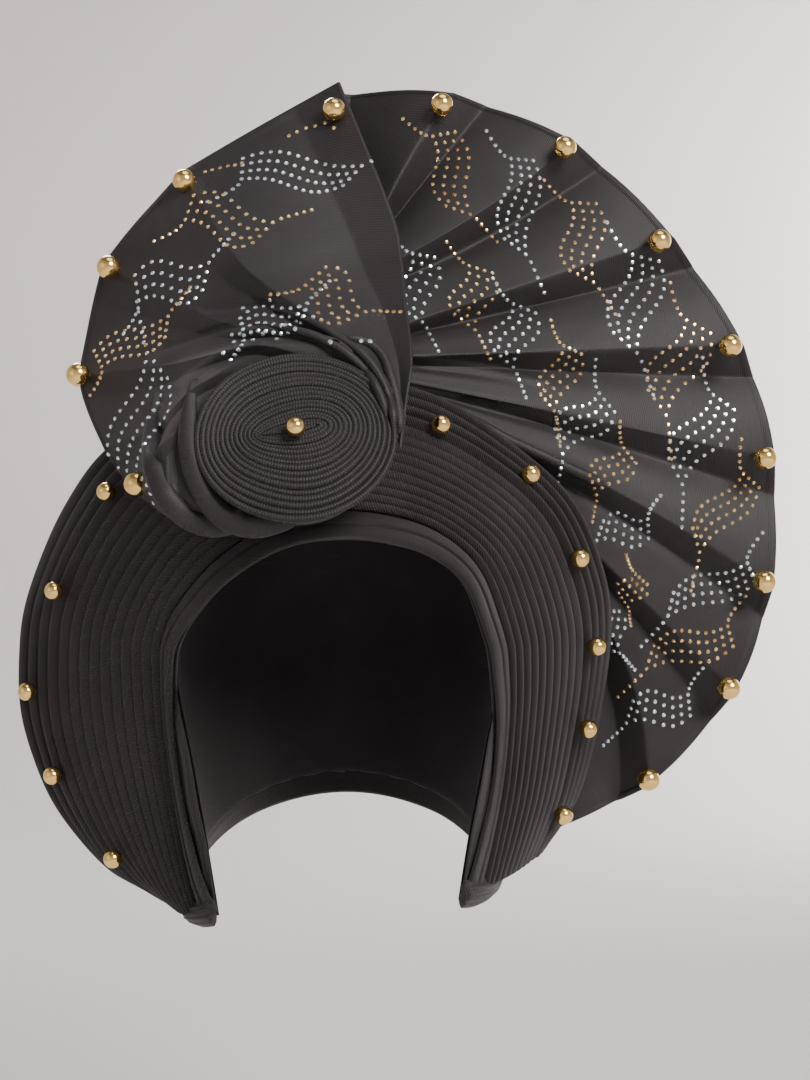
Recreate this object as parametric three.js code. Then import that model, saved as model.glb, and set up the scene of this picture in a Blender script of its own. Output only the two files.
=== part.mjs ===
// Tied gele head tie: a stiff pleated wrap on a plain cap, with two fans, a wound rosette and gold beads.
// Millimetres, +Z up, the face looks along -Y. The origin is the middle of the head hollow at its widest
// level.
import * as THREE from 'three';
import { mergeVertices } from 'three/addons/utils/BufferGeometryUtils.js';

// The head hollow: half sizes at the widest level, crown height, and how it narrows below that level
const HEAD = { halfWidth: 77, halfDepth: 98, crown: 94, widthTaper: 0.13, depthTaper: 0.2 };
const GAP = 0.3;
// Extra room where a flat facet of one piece crosses the curve of the piece under it
const FACET_ROOM = 0.35;

// Walls of the cloth pieces
const CAP_WALL = 1.8;
const BAND_WALL = 2.2;
const BRIM_WALL = 2;
const FAN_WALL = 2.2;
const NAPE_WALL = 2.6;
// How far the pieces round the cap's edge stand from the head
const ON_CAP = CAP_WALL + GAP + FACET_ROOM;

// Brow band and brims
const BAND_WIDTH = 11;
// The strip's profile, from the opening's edge outward: the upper half laps over the lower
const BAND_PROFILE = [
  { share: 0, lift: 0 },
  { share: 0.46, lift: 0.3 },
  { share: 0.52, lift: 0.9 },
  { share: 1, lift: 0.2 },
];
const BAND_STEPS = 36;
// How far the brim's inner edge stands from the band, which its thickness leans towards
const BRIM_SEAT = 2.1;
const BRIM_PLEATS = 14;
const BRIM_PLEAT_DEPTH = 1.8;
// Where a pleat's crest lies across it, and how far the brim's middle swells out
const BRIM_CREST = 0.7;
const BRIM_BULGE = 8;
const BRIM_STEPS = 18;

// Valleys of the fans: how far from one fold to the next they lie, how far back they are set along the
// fold, and how far they reach past the folds at the rim
const LARGE_VALLEY = { share: 0.26, hub: 4, middle: 12, rim: 9, reach: 1.7 };
const SMALL_VALLEY = { share: 0.3, hub: 1.5, middle: 6, rim: 5, reach: 1.6 };
const LARGE_STEPS = 10;
const SMALL_STEPS = 12;
const SMALL_BETWEEN = 2;
// Room under the large fan's foot, whose facets are long
const FOOT_ROOM = 1.75;
// The small fan starts behind the rosette's face and beside its edge. Its folds swing back to the rim by
// these shares of the way, where they leave the rosette and where they near the rim.
const SMALL_START = { behind: 6, room: 2.2 };
const SWING_BACK = { leave: 0.2, reach: 0.72 };

// Rosette: a wound roll, tipped back so that its face looks a little up
const ROSETTE = {
  centre: new THREE.Vector3(-12.3, -105, 82.6),
  halfWidth: 38.4,
  halfHeight: 35.3,
  tip: THREE.MathUtils.degToRad(22),
  depth: 25.6,
  lip: 3,
  backShare: 0.72,
  dome: 3,
  turns: 7,
  turnStep: 1.2,
  stepShare: 0.25,
  columns: 40,
};

// Cap: the point that its grid closes on, the share of its edge that lies under the brow band, and how far
// outside the opening's edge it runs there
const CAP_POLE = new THREE.Vector3(0, 18, 94);
const CAP_FACE_SHARE = 0.6;
const CAP_INSET = 1;
const CAP_ROWS = 10;
const CAP_COLUMNS = 40;

// Nape band
const NAPE_COLUMNS = 5;
const NAPE_STEPS_EACH = 3;

// Beads
const LARGE_BEAD = 10;
const SMALL_BEAD = 8;
const ROSETTE_BEAD = 7.5;

// Small steps along a table or a curve, for the way that a surface faces
const STATION_STEP = 0.02;
const BRIM_ALONG_STEP = 0.05;
const SHARE_STEP = 0.02;
const TURN_STEP = 0.1;

// Stations round the face, from the left jaw over the brow to the right jaw. turn and height place the
// opening's edge on the head (degrees from the front, mm), and x, y, z is the brim's outer edge there.
const STATIONS = [
  { turn: -48, height: -103.5, x: -71, y: -8, z: -107 },
  { turn: -55, height: -90, x: -100, y: 3, z: -96 },
  { turn: -61, height: -66, x: -124, y: 8, z: -71 },
  { turn: -63, height: -42, x: -138, y: 8, z: -36 },
  { turn: -60, height: -20, x: -139, y: 6, z: -4 },
  { turn: -53.5, height: 0, x: -133, y: 2, z: 24 },
  { turn: -43, height: 15, x: -116, y: -8, z: 58 },
  { turn: -32, height: 28, x: -92, y: -22, z: 84 },
  { turn: -20, height: 38, x: -52, y: -46, z: 95 },
  { turn: -9, height: 43, x: -12, y: -57, z: 97 },
  { turn: 4, height: 44.5, x: 8, y: -55, z: 105 },
  { turn: 17, height: 43, x: 36, y: -47, z: 101 },
  { turn: 30.5, height: 38, x: 66, y: -37, z: 84 },
  { turn: 42, height: 27, x: 94, y: -26, z: 61 },
  { turn: 48, height: 9, x: 109, y: -15, z: 31 },
  { turn: 54, height: -10, x: 113.5, y: -8, z: 3 },
  { turn: 60, height: -33, x: 110, y: 1, z: -32 },
  { turn: 61, height: -62, x: 102, y: 6, z: -65 },
  { turn: 52.5, height: -97, x: 87, y: 8, z: -89 },
];
// Where the band and the brims start, part and end, in rows of the table
const FIRST_PLACE = 0.1;
const SPLIT_PLACE = 9;
const SPLIT_ROOM = 0.01;
const LAST_PLACE = STATIONS.length - 1.1;

// Folds of the large fan, from the one hidden behind the small fan round to the right jaw. Each runs from
// the hub, where the cloth is gathered, to the rim; bow is how far its middle stands off the straight line,
// and bead how far along it its bead sits.
const LARGE_FOLDS = [
  { hubX: -16, hubY: -6, hubZ: 160, rimX: -10, rimY: 16, rimZ: 243, bow: 0 },
  { hubX: 10, hubY: -8, hubZ: 165, rimX: 48.6, rimY: 4, rimZ: 240, bow: 3, bead: 0.9 },
  { hubX: -4, hubY: -18, hubZ: 150, rimX: 101.7, rimY: 2, rimZ: 218.3, bow: -5, bead: 0.95 },
  { hubX: -8, hubY: -30, hubZ: 123, rimX: 145.4, rimY: 2, rimZ: 176.4, bow: 0, bead: 0.95 },
  { hubX: -6, hubY: -34, hubZ: 119, rimX: 176.2, rimY: 4, rimZ: 129.2, bow: 0, bead: 0.96 },
  { hubX: -2, hubY: -36, hubZ: 115, rimX: 190.4, rimY: 6, rimZ: 79, bow: 1, bead: 0.97 },
  { hubX: 8, hubY: -36, hubZ: 111, rimX: 190, rimY: 8, rimZ: 23, bow: 7, bead: 0.97 },
  { hubX: 46, hubY: -28, hubZ: 92, rimX: 173.5, rimY: 10, rimZ: -24, bow: 3, bead: 0.97 },
  { hubX: 78, hubY: -14, hubZ: 44, rimX: 135.5, rimY: 12, rimZ: -65, bow: 16, bead: 0.97 },
  { hubX: 85, hubY: 0, hubZ: 8, rimX: 91.5, rimY: 17, rimZ: -85.3, bow: 8 },
];

// Folds of the small fan, from its free right edge round to its lower left end. Each leaves the rosette at
// the angle turn, runs along the rosette's edge for leave, and reaches the rim from the angle arrive. bead is
// how far along the fold its bead sits, and aside how far from the fold towards the next valley.
const SMALL_FOLDS = [
  { turn: 2, leave: 30, rimX: -0.9, rimY: 2, rimZ: 244.4, arrive: 118, reach: 70, bead: 0.93, aside: 0.3 },
  { turn: 13, leave: 35, rimX: -69.2, rimY: -4, rimZ: 204.1, arrive: 116, reach: 60, bead: 0.95, aside: 0 },
  { turn: 36, leave: 30, rimX: -102, rimY: -11, rimZ: 161.5, arrive: 155, reach: 45, bead: 0.95, aside: 0 },
  { turn: 66, leave: 26, rimX: -111, rimY: -18, rimZ: 114, arrive: 165, reach: 40, bead: 0.97, aside: 0 },
  { turn: 95, leave: 28, rimX: -96, rimY: -38, rimZ: 81, arrive: 210, reach: 34 },
  { turn: 125, leave: 26, rimX: -79, rimY: -59, rimZ: 61.5, arrive: 235, reach: 28, bead: 0.93, aside: 0 },
  { turn: 158, leave: 18, rimX: -61, rimY: -77, rimZ: 51, arrive: 245, reach: 22 },
  { turn: 192, leave: 10, rimX: -37, rimY: -93, rimZ: 45.5, arrive: 285, reach: 10 },
];

// The cap's hem behind the face, from the right jaw round the nape to the left jaw
const HEM = [
  { turn: 51, height: -102 },
  { turn: 75, height: -104 },
  { turn: 105, height: -92 },
  { turn: 140, height: -76 },
  { turn: 180, height: -68 },
  { turn: 220, height: -76 },
  { turn: 255, height: -94 },
  { turn: 282, height: -111 },
  { turn: 312, height: -108 },
];

// Nape band, from the right jaw to the left: its two edges on the head, and how far its middle swells out
const NAPE = [
  { turn: 47, low: -104.5, high: -99.5, swell: 2 },
  { turn: 60, low: -106, high: -99.5, swell: 3 },
  { turn: 80, low: -105, high: -97, swell: 2 },
  { turn: 110, low: -97, high: -80, swell: 0.5 },
  { turn: 145, low: -84, high: -58, swell: 0 },
  { turn: 180, low: -78, high: -50, swell: 0 },
  { turn: 215, low: -84, high: -58, swell: 0 },
  { turn: 250, low: -99, high: -80, swell: 0.5 },
  { turn: 278, low: -116, high: -112, swell: 1 },
  { turn: 299, low: -115.5, high: -111.2, swell: 3 },
  { turn: 313, low: -113.5, high: -109.5, swell: 2 },
];

// Beads of the brims: side, place along the stations, and share of the way from the band to the outer edge
const BRIM_BEADS = [
  { side: 'left', place: 1.3, share: 0.55 },
  { side: 'left', place: 2.45, share: 0.79 },
  { side: 'left', place: 3.5, share: 0.83 },
  { side: 'left', place: 5.1, share: 0.68 },
  { side: 'left', place: 6.55, share: 0.66 },
  { side: 'right', place: 11.25, share: 0.69 },
  { side: 'right', place: 12.5, share: 0.74 },
  { side: 'right', place: 13.65, share: 0.72 },
  { side: 'right', place: 15, share: 0.72 },
  { side: 'right', place: 16.1, share: 0.71 },
  { side: 'right', place: 17.2, share: 0.6 },
];

const UP = new THREE.Vector3(0, 0, 1);
const BACK = new THREE.Vector3(0, 1, 0);

// A point of the head at a turn from the front and a height, off millimetres outside it
function headAt(turn, height, off) {
  const angle = THREE.MathUtils.degToRad(turn);
  const below = Math.min(height, 0);
  const level = Math.sqrt(Math.max(0, 1 - (Math.max(height, 0) / (HEAD.crown + off)) ** 2));
  const width = (HEAD.halfWidth + off + HEAD.widthTaper * below) * level;
  const depth = (HEAD.halfDepth + off + HEAD.depthTaper * below) * level;
  return new THREE.Vector3(width * Math.sin(angle), -depth * Math.cos(angle), height);
}

// The nearest place on the head along a line from its middle, or level with the point below the widest level
function ontoHead(point, off) {
  const below = Math.min(point.z, 0);
  const above = Math.max(point.z, 0);
  const width = HEAD.halfWidth + off + HEAD.widthTaper * below;
  const depth = HEAD.halfDepth + off + HEAD.depthTaper * below;
  const scale = 1 / Math.hypot(point.x / width, point.y / depth, above / (HEAD.crown + off));
  return new THREE.Vector3(point.x * scale, point.y * scale, point.z > 0 ? point.z * scale : point.z);
}

// A smooth value through the rows of a table at a place that may lie between two rows
function alongRows(rows, column, place) {
  const last = rows.length - 1;
  const first = Math.min(Math.max(Math.floor(place), 0), last - 1);
  const at = (index) => rows[Math.min(Math.max(index, 0), last)][column];
  const [a, b, c, d] = [at(first - 1), at(first), at(first + 1), at(first + 2)];
  const t = place - first;
  return b + 0.5 * t * (c - a + t * (2 * a - 5 * b + 4 * c - d + t * (3 * (b - c) + d - a)));
}

// A closed wall between two grids of points that share their layout: front(row, column), back(row, column)
function wall(rows, columns, front, back, loops = false) {
  const positions = [];
  const triangle = (a, b, c) => positions.push(a.x, a.y, a.z, b.x, b.y, b.z, c.x, c.y, c.z);
  const quad = (a, b, c, d) => {
    triangle(a, b, c);
    triangle(a, c, d);
  };
  const gridRow = (make, row) => Array.from({ length: columns }, (_, column) => make(row, column));
  const grid = (make) => Array.from({ length: rows }, (_, row) => gridRow(make, row));
  const faces = grid(front);
  const backs = grid(back);
  const spans = loops ? columns : columns - 1;
  for (let row = 0; row < rows - 1; row += 1) {
    for (let column = 0; column < spans; column += 1) {
      const next = (column + 1) % columns;
      quad(faces[row][column], faces[row][next], faces[row + 1][next], faces[row + 1][column]);
      quad(backs[row][column], backs[row + 1][column], backs[row + 1][next], backs[row][next]);
    }
  }
  for (let column = 0; column < spans; column += 1) {
    const next = (column + 1) % columns;
    quad(faces[0][next], faces[0][column], backs[0][column], backs[0][next]);
    quad(faces[rows - 1][column], faces[rows - 1][next], backs[rows - 1][next], backs[rows - 1][column]);
  }
  if (!loops) {
    for (let row = 0; row < rows - 1; row += 1) {
      quad(faces[row][0], faces[row + 1][0], backs[row + 1][0], backs[row][0]);
      const end = columns - 1;
      quad(faces[row + 1][end], faces[row][end], backs[row][end], backs[row + 1][end]);
    }
  }
  return closedSolid(positions);
}

// Merges shared corners, drops triangles with no area, and turns the faces outward
function closedSolid(positions) {
  const soup = new THREE.BufferGeometry();
  soup.setAttribute('position', new THREE.Float32BufferAttribute(positions, 3));
  const merged = mergeVertices(soup, 1e-4);
  const index = Array.from(merged.index.array);
  const kept = [];
  for (let i = 0; i < index.length; i += 3) {
    const [a, b, c] = index.slice(i, i + 3);
    if (a !== b && b !== c && c !== a) kept.push(a, b, c);
  }
  const place = merged.getAttribute('position');
  const corner = (i) => new THREE.Vector3().fromBufferAttribute(place, i);
  let volume = 0;
  for (let i = 0; i < kept.length; i += 3) {
    const [a, b, c] = [corner(kept[i]), corner(kept[i + 1]), corner(kept[i + 2])];
    volume += a.dot(b.cross(c));
  }
  if (volume < 0) kept.reverse();
  merged.setIndex(kept);
  merged.computeVertexNormals();
  return merged;
}

// The opening's edge, and the line that lies across the band from it, both on the head
function openingAt(place, off) {
  return headAt(alongRows(STATIONS, 'turn', place), alongRows(STATIONS, 'height', place), off);
}

function acrossBand(place, width, off) {
  const edge = openingAt(place, off);
  const before = openingAt(place - STATION_STEP, off);
  const along = openingAt(place + STATION_STEP, off).sub(before).normalize();
  const out = ontoHead(edge, off + 1).sub(edge).normalize();
  const across = new THREE.Vector3().crossVectors(out, along).normalize();
  return ontoHead(edge.addScaledVector(across, width), off);
}

// Brow band: a folded strip lapped on itself, lying on the cap round the opening
function browBand() {
  const place = (row) => FIRST_PLACE + (LAST_PLACE - FIRST_PLACE) * (row / BAND_STEPS);
  return wall(
    BAND_STEPS + 1,
    BAND_PROFILE.length,
    (row, column) => {
      const { share, lift } = BAND_PROFILE[column];
      return acrossBand(place(row), share * BAND_WIDTH, ON_CAP + BAND_WALL + lift);
    },
    (row, column) => acrossBand(place(row), BAND_PROFILE[column].share * BAND_WIDTH, ON_CAP),
  );
}

// The brim without its pleats, from the band (share 0) to its outer edge (share 1)
function brimAt(place, share) {
  const inner = acrossBand(place, BAND_WIDTH + BRIM_SEAT, ON_CAP);
  const column = (name) => alongRows(STATIONS, name, place);
  const outer = new THREE.Vector3(column('x'), column('y'), column('z'));
  const out = ontoHead(inner, CAP_WALL + GAP + 1).sub(inner).normalize();
  const middle = inner.clone().lerp(outer, 0.5).addScaledVector(out, BRIM_BULGE);
  const rest = 1 - share;
  return inner
    .multiplyScalar(rest * rest)
    .addScaledVector(middle, 2 * rest * share)
    .addScaledVector(outer, share * share);
}

function brimNormal(place, share) {
  const low = Math.max(share - SHARE_STEP, 0);
  const high = Math.min(share + SHARE_STEP, 1);
  const across = brimAt(place, high).sub(brimAt(place, low));
  const along = brimAt(place + BRIM_ALONG_STEP, share).sub(brimAt(place - BRIM_ALONG_STEP, share));
  return along.cross(across).normalize();
}

// One side of the brim: knife pleats side by side, each a long face that ends in a short drop
function brimSide(start, end) {
  const columns = 2 * BRIM_PLEATS + 1;
  const place = (row) => start + (end - start) * (row / BRIM_STEPS);
  const share = (column) => (Math.floor(column / 2) + (column % 2) * BRIM_CREST) / BRIM_PLEATS;
  const point = (row, column, lift) => {
    const base = brimAt(place(row), share(column));
    const rise = (column % 2) * BRIM_PLEAT_DEPTH + lift;
    return base.addScaledVector(brimNormal(place(row), share(column)), rise);
  };
  return wall(
    BRIM_STEPS + 1,
    columns,
    (row, column) => point(row, column, BRIM_WALL),
    (row, column) => point(row, column, 0),
  );
}

// Cap: a thin wall on the head, open for the face, its edge under the band and round the nape
function capEdge(share) {
  if (share < CAP_FACE_SHARE) {
    const place = FIRST_PLACE + (LAST_PLACE - FIRST_PLACE) * (share / CAP_FACE_SHARE);
    return acrossBand(place, CAP_INSET, 0);
  }
  const place = (HEM.length - 1) * ((share - CAP_FACE_SHARE) / (1 - CAP_FACE_SHARE));
  return headAt(alongRows(HEM, 'turn', place), alongRows(HEM, 'height', place), 0);
}

function crownCap() {
  const point = (row, column, off) => {
    const edge = capEdge(column / CAP_COLUMNS);
    return ontoHead(CAP_POLE.clone().lerp(edge, row / (CAP_ROWS - 1)), off);
  };
  return wall(
    CAP_ROWS,
    CAP_COLUMNS,
    (row, column) => point(row, column, CAP_WALL),
    (row, column) => point(row, column, 0),
    true,
  );
}

// Nape band: the cloth's end, drawn from the left jaw round the nape to the right jaw over the cap's hem
function napeBand() {
  const place = (row) => row / NAPE_STEPS_EACH;
  const point = (row, column, off) => {
    const share = column / (NAPE_COLUMNS - 1);
    const low = alongRows(NAPE, 'low', place(row));
    const high = alongRows(NAPE, 'high', place(row));
    return headAt(alongRows(NAPE, 'turn', place(row)), THREE.MathUtils.lerp(low, high, share), off);
  };
  return wall(
    NAPE_STEPS_EACH * (NAPE.length - 1) + 1,
    NAPE_COLUMNS,
    (row, column) => {
      const swell = Math.max(alongRows(NAPE, 'swell', place(row)), 0);
      const crown = Math.sin((Math.PI * column) / (NAPE_COLUMNS - 1));
      return point(row, column, ON_CAP + NAPE_WALL + swell * crown);
    },
    (row, column) => point(row, column, ON_CAP),
  );
}

// Large fan: a fold's line as the three points of a curve, hub, middle and rim
function largeFold(fold) {
  const hub = new THREE.Vector3(fold.hubX, fold.hubY, fold.hubZ);
  const rim = new THREE.Vector3(fold.rimX, fold.rimY, fold.rimZ);
  const aside = new THREE.Vector3(hub.z - rim.z, 0, rim.x - hub.x).normalize();
  const middle = hub.clone().lerp(rim, 0.5).addScaledVector(aside, 2 * fold.bow);
  return [hub, middle, rim];
}

// A valley between two folds, near the upper one, set back by its depths along the line and reaching
// a little further out at the rim
function valleyLine(line, next, valley, depths) {
  const set = line.map((point, index) => {
    return point.clone().lerp(next[index], valley.share).addScaledVector(BACK, depths[index]);
  });
  const rim = set.length - 1;
  const outward = set[rim].clone().sub(set[rim - 1]).normalize();
  set[rim].addScaledVector(outward, valley.reach);
  return set;
}

function foldLines(ridges, valley, depths) {
  const lines = [];
  ridges.forEach((line, index) => {
    lines.push(line);
    if (index < ridges.length - 1) lines.push(valleyLine(line, ridges[index + 1], valley, depths));
  });
  return lines;
}

function onCurve(points, t) {
  let line = points.map((point) => point.clone());
  while (line.length > 1) line = line.slice(1).map((point, index) => line[index].clone().lerp(point, t));
  return line[0];
}

const LARGE_LINES = foldLines(LARGE_FOLDS.map(largeFold), LARGE_VALLEY, [
  LARGE_VALLEY.hub,
  2 * LARGE_VALLEY.middle - (LARGE_VALLEY.hub + LARGE_VALLEY.rim) / 2,
  LARGE_VALLEY.rim,
]);

function largeFan() {
  const point = (row, column) => {
    if (row > 0) return onCurve(LARGE_LINES[column], (row - 1) / LARGE_STEPS);
    return ontoHead(LARGE_LINES[column][0], CAP_WALL + GAP + FOOT_ROOM);
  };
  return wall(
    LARGE_STEPS + 2,
    LARGE_LINES.length,
    point,
    (row, column) => point(row, column).addScaledVector(BACK, FAN_WALL),
  );
}

// The rosette's own axes: across, up its face, and out of its face
const FACE_UP = UP.clone().applyAxisAngle(new THREE.Vector3(1, 0, 0), -ROSETTE.tip);
const FACE_OUT = BACK.clone().negate().applyAxisAngle(new THREE.Vector3(1, 0, 0), -ROSETTE.tip);

function onRosette(angle, share, grow, height) {
  const across = (ROSETTE.halfWidth + grow) * share * Math.cos(angle);
  const up = (ROSETTE.halfHeight + grow) * share * Math.sin(angle);
  return new THREE.Vector3(across, 0, 0)
    .addScaledVector(FACE_UP, up)
    .addScaledVector(FACE_OUT, height)
    .add(ROSETTE.centre);
}

// Small fan: a fold's line as the four points of a curve that leaves the rosette along its edge
function besideRosette(turn) {
  const down = (SMALL_START.behind - ROSETTE.lip) / (ROSETTE.depth - ROSETTE.lip);
  return onRosette(turn, 1 - (1 - ROSETTE.backShare) * down, SMALL_START.room, -SMALL_START.behind);
}

function smallFold(fold) {
  const turn = THREE.MathUtils.degToRad(fold.turn);
  const arrive = THREE.MathUtils.degToRad(fold.arrive);
  const start = besideRosette(turn);
  const ahead = besideRosette(turn + TURN_STEP).sub(start).normalize();
  const rim = new THREE.Vector3(fold.rimX, fold.rimY, fold.rimZ);
  const outward = new THREE.Vector3(Math.cos(arrive), 0, Math.sin(arrive));
  const leave = start.clone().addScaledVector(ahead, fold.leave);
  leave.y = THREE.MathUtils.lerp(start.y, rim.y, SWING_BACK.leave);
  const reach = rim.clone().addScaledVector(outward, -fold.reach);
  reach.y = THREE.MathUtils.lerp(start.y, rim.y, SWING_BACK.reach);
  return [start, leave, reach, rim];
}

const SMALL_LINES = foldLines(SMALL_FOLDS.map(smallFold), SMALL_VALLEY, [
  SMALL_VALLEY.hub,
  SMALL_VALLEY.middle,
  SMALL_VALLEY.middle,
  SMALL_VALLEY.rim,
]);

function smallFan() {
  const point = (row, column) => {
    const first = Math.min(Math.floor(column / SMALL_BETWEEN), SMALL_LINES.length - 2);
    const share = column / SMALL_BETWEEN - first;
    const t = row / SMALL_STEPS;
    return onCurve(SMALL_LINES[first], t).lerp(onCurve(SMALL_LINES[first + 1], t), share);
  };
  return wall(
    SMALL_STEPS + 1,
    (SMALL_LINES.length - 1) * SMALL_BETWEEN + 1,
    point,
    (row, column) => point(row, column).addScaledVector(BACK, FAN_WALL),
  );
}

// Rosette: a wound roll whose turns stand a little proud of one another towards the middle
function rosette() {
  const rings = [{ share: 0, height: ROSETTE.dome + ROSETTE.turnStep }];
  for (let turn = 1; turn <= ROSETTE.turns; turn += 1) {
    const share = turn / ROSETTE.turns;
    const height = ROSETTE.dome * (1 - share * share);
    rings.push({ share: share - ROSETTE.stepShare / ROSETTE.turns, height: height + ROSETTE.turnStep });
    if (turn < ROSETTE.turns) rings.push({ share, height });
  }
  rings.push({ share: 1, height: -ROSETTE.lip });
  const angle = (column) => (2 * Math.PI * column) / ROSETTE.columns;
  return wall(
    rings.length,
    ROSETTE.columns,
    (row, column) => onRosette(angle(column), rings[row].share, 0, rings[row].height),
    (row, column) => onRosette(angle(column), rings[row].share * ROSETTE.backShare, 0, -ROSETTE.depth),
    true,
  );
}

// A bead, its poles front and back, resting on the crest it is sewn to
function bead(diameter) {
  return new THREE.SphereGeometry(diameter / 2, 12, 7).rotateX(Math.PI / 2);
}

const BLACK_CLOTH = { color: 0x1c1819, roughness: 0.62, metalness: 0 };
const BLACK_PLAIN = { color: 0x161414, roughness: 0.8, metalness: 0 };
const GOLD = { color: 0xd9a441, roughness: 0.18, metalness: 1 };

const gele = new THREE.Group();

function addPiece(name, geometry, look) {
  const mesh = new THREE.Mesh(geometry, new THREE.MeshStandardMaterial(look));
  mesh.name = name;
  gele.add(mesh);
  return mesh;
}

addPiece('crown_cap', crownCap(), BLACK_PLAIN);
addPiece('brow_band', browBand(), BLACK_CLOTH);
addPiece('nape_band', napeBand(), BLACK_CLOTH);
addPiece('brim_left', brimSide(FIRST_PLACE, SPLIT_PLACE - SPLIT_ROOM), BLACK_CLOTH);
addPiece('brim_right', brimSide(SPLIT_PLACE + SPLIT_ROOM, LAST_PLACE), BLACK_CLOTH);
addPiece('fan_large', largeFan(), BLACK_CLOTH);
addPiece('fan_small', smallFan(), BLACK_CLOTH);
addPiece('rosette', rosette(), BLACK_CLOTH);

// Beads of a row are numbered from the first place along it
function addBead(name, diameter, seat, out) {
  const mesh = addPiece(name, bead(diameter), GOLD);
  mesh.position.copy(seat).addScaledVector(out, diameter / 2 + GAP);
}

// The way a fold's crest faces: the mean of the cloth on its two sides
function crestNormal(lines, column, t) {
  const along = onCurve(lines[column], t).sub(onCurve(lines[column], t - SHARE_STEP)).normalize();
  const out = new THREE.Vector3();
  for (const side of [column - 1, column + 1].filter((index) => index >= 0)) {
    const away = onCurve(lines[side], t).sub(onCurve(lines[column], t)).normalize();
    const normal = along.clone().cross(away).normalize();
    out.addScaledVector(normal, -Math.sign(normal.y));
  }
  return out.normalize();
}

let largeBeads = 0;
LARGE_FOLDS.forEach(({ bead: along }, row) => {
  if (along === undefined) return;
  largeBeads += 1;
  const out = crestNormal(LARGE_LINES, 2 * row, along).sub(BACK).normalize();
  addBead(`bead_fan_large_${largeBeads}`, LARGE_BEAD, onCurve(LARGE_LINES[2 * row], along), out);
});

let smallBeads = 0;
SMALL_FOLDS.forEach(({ bead: along, aside }, row) => {
  if (along === undefined) return;
  smallBeads += 1;
  const seat = onCurve(SMALL_LINES[2 * row], along).lerp(onCurve(SMALL_LINES[2 * row + 1], along), aside);
  addBead(`bead_fan_small_${smallBeads}`, LARGE_BEAD, seat, crestNormal(SMALL_LINES, 2 * row, along));
});

// Beads of the brims, numbered from the left jaw and from the rosette
const counts = { left: 0, right: 0 };
for (const { side, place, share } of BRIM_BEADS) {
  counts[side] += 1;
  const crest = (Math.round(share * BRIM_PLEATS - BRIM_CREST) + BRIM_CREST) / BRIM_PLEATS;
  const out = brimNormal(place, crest);
  const seat = brimAt(place, crest).addScaledVector(out, BRIM_PLEAT_DEPTH + BRIM_WALL);
  addBead(`bead_brim_${side}_${counts[side]}`, SMALL_BEAD, seat, out);
}

addBead('bead_rosette', ROSETTE_BEAD, onRosette(0, 0, 0, ROSETTE.dome + ROSETTE.turnStep), FACE_OUT);

export default gele;
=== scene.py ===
"""Looks of a tied gele head tie: pleated cloth, a wound rosette, gold beads and stones.

Sizes in the tables are millimetres in the frame's axes, +Z up with the face along -Y, and become metres
only where a mesh is made.
"""
import math
from types import SimpleNamespace as named

import bpy
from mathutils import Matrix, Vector
from mathutils.bvhtree import BVHTree
import numpy as np


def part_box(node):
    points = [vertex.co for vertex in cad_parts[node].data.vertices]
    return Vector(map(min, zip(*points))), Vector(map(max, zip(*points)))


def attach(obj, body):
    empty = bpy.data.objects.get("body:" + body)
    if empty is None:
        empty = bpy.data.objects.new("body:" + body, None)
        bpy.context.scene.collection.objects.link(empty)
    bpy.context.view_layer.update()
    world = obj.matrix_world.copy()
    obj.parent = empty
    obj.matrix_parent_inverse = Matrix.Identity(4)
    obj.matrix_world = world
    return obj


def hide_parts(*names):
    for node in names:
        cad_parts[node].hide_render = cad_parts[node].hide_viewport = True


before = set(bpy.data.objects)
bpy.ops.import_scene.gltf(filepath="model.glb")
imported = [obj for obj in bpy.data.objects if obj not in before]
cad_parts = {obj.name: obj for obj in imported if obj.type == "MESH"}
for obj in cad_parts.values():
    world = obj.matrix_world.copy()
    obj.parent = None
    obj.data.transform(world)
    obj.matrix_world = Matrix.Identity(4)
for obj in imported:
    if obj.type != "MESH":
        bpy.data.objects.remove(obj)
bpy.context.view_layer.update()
MM = 0.001
RIGHT = np.array([1.0, 0.0, 0.0])
BACK = np.array([0.0, 1.0, 0.0])
UP = np.array([0.0, 0.0, 1.0])


def table(columns, *rows):
    """Rows of a table, each with its values under the names of the columns."""
    return [named(**dict(zip(columns.split(), row))) for row in rows]


# The camera stands at the photograph's place, level, with its lens
CAMERA_AT = (28, -720, 44)
LENS = 55

# The head hollow, and how far outside it the cap and what lies on the cap are
HEAD = named(half_width=77, half_depth=98, crown=94, width_taper=0.13, depth_taper=0.2)
CAP_WALL = 1.8
ON_CAP = 2.45
FAN_WALL = 1.3

# The strip round the face opening. The profile pairs shares of its width with how high it is folded
BAND_WALL = 2.1
BAND_WIDTH = 11
BAND_ROWS = 260
BAND_PROFILE = [
    (0, 0), (0.12, 0.5), (0.3, 0.55), (0.44, 0.35), (0.47, 0.1), (0.5, 0.25),
    (0.53, 0.85), (0.6, 1.0), (0.8, 0.7), (0.96, 0.2), (1, 0),
]

# The brim's knife pleats grow wider and deeper outwards, and over the brow they turn into round folds. Each
# pair that ends in _RISE is where a gentle rise from 0 to 1 starts, and how far it goes on
BRIM_WALL = 1.8
BRIM_SEAT = 2.1
BRIM_BULGE = 8
BRIM_LEAN = 3.1
BRIM_PLEATS = 14
BRIM_WIDENING = 0.28
BRIM_ROWS = 170
PLEAT = named(steps=10, crest=0.74, rise_power=0.8, tuck_power=0.9, round_power=0.6)
PLEAT_DEPTH = named(inner=1.5, outer=1.0, over_brow=2.0, back_share=0.3)
BROW_RISE = (8, 2)
PAST_BROW_RISE = (13, 3)
DEEP_RISE = (0.6, 0.14)
ROUND_RISE = (0.55, 0.15)
BRIM_WAVE = named(height=0.25, length=45)

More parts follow.
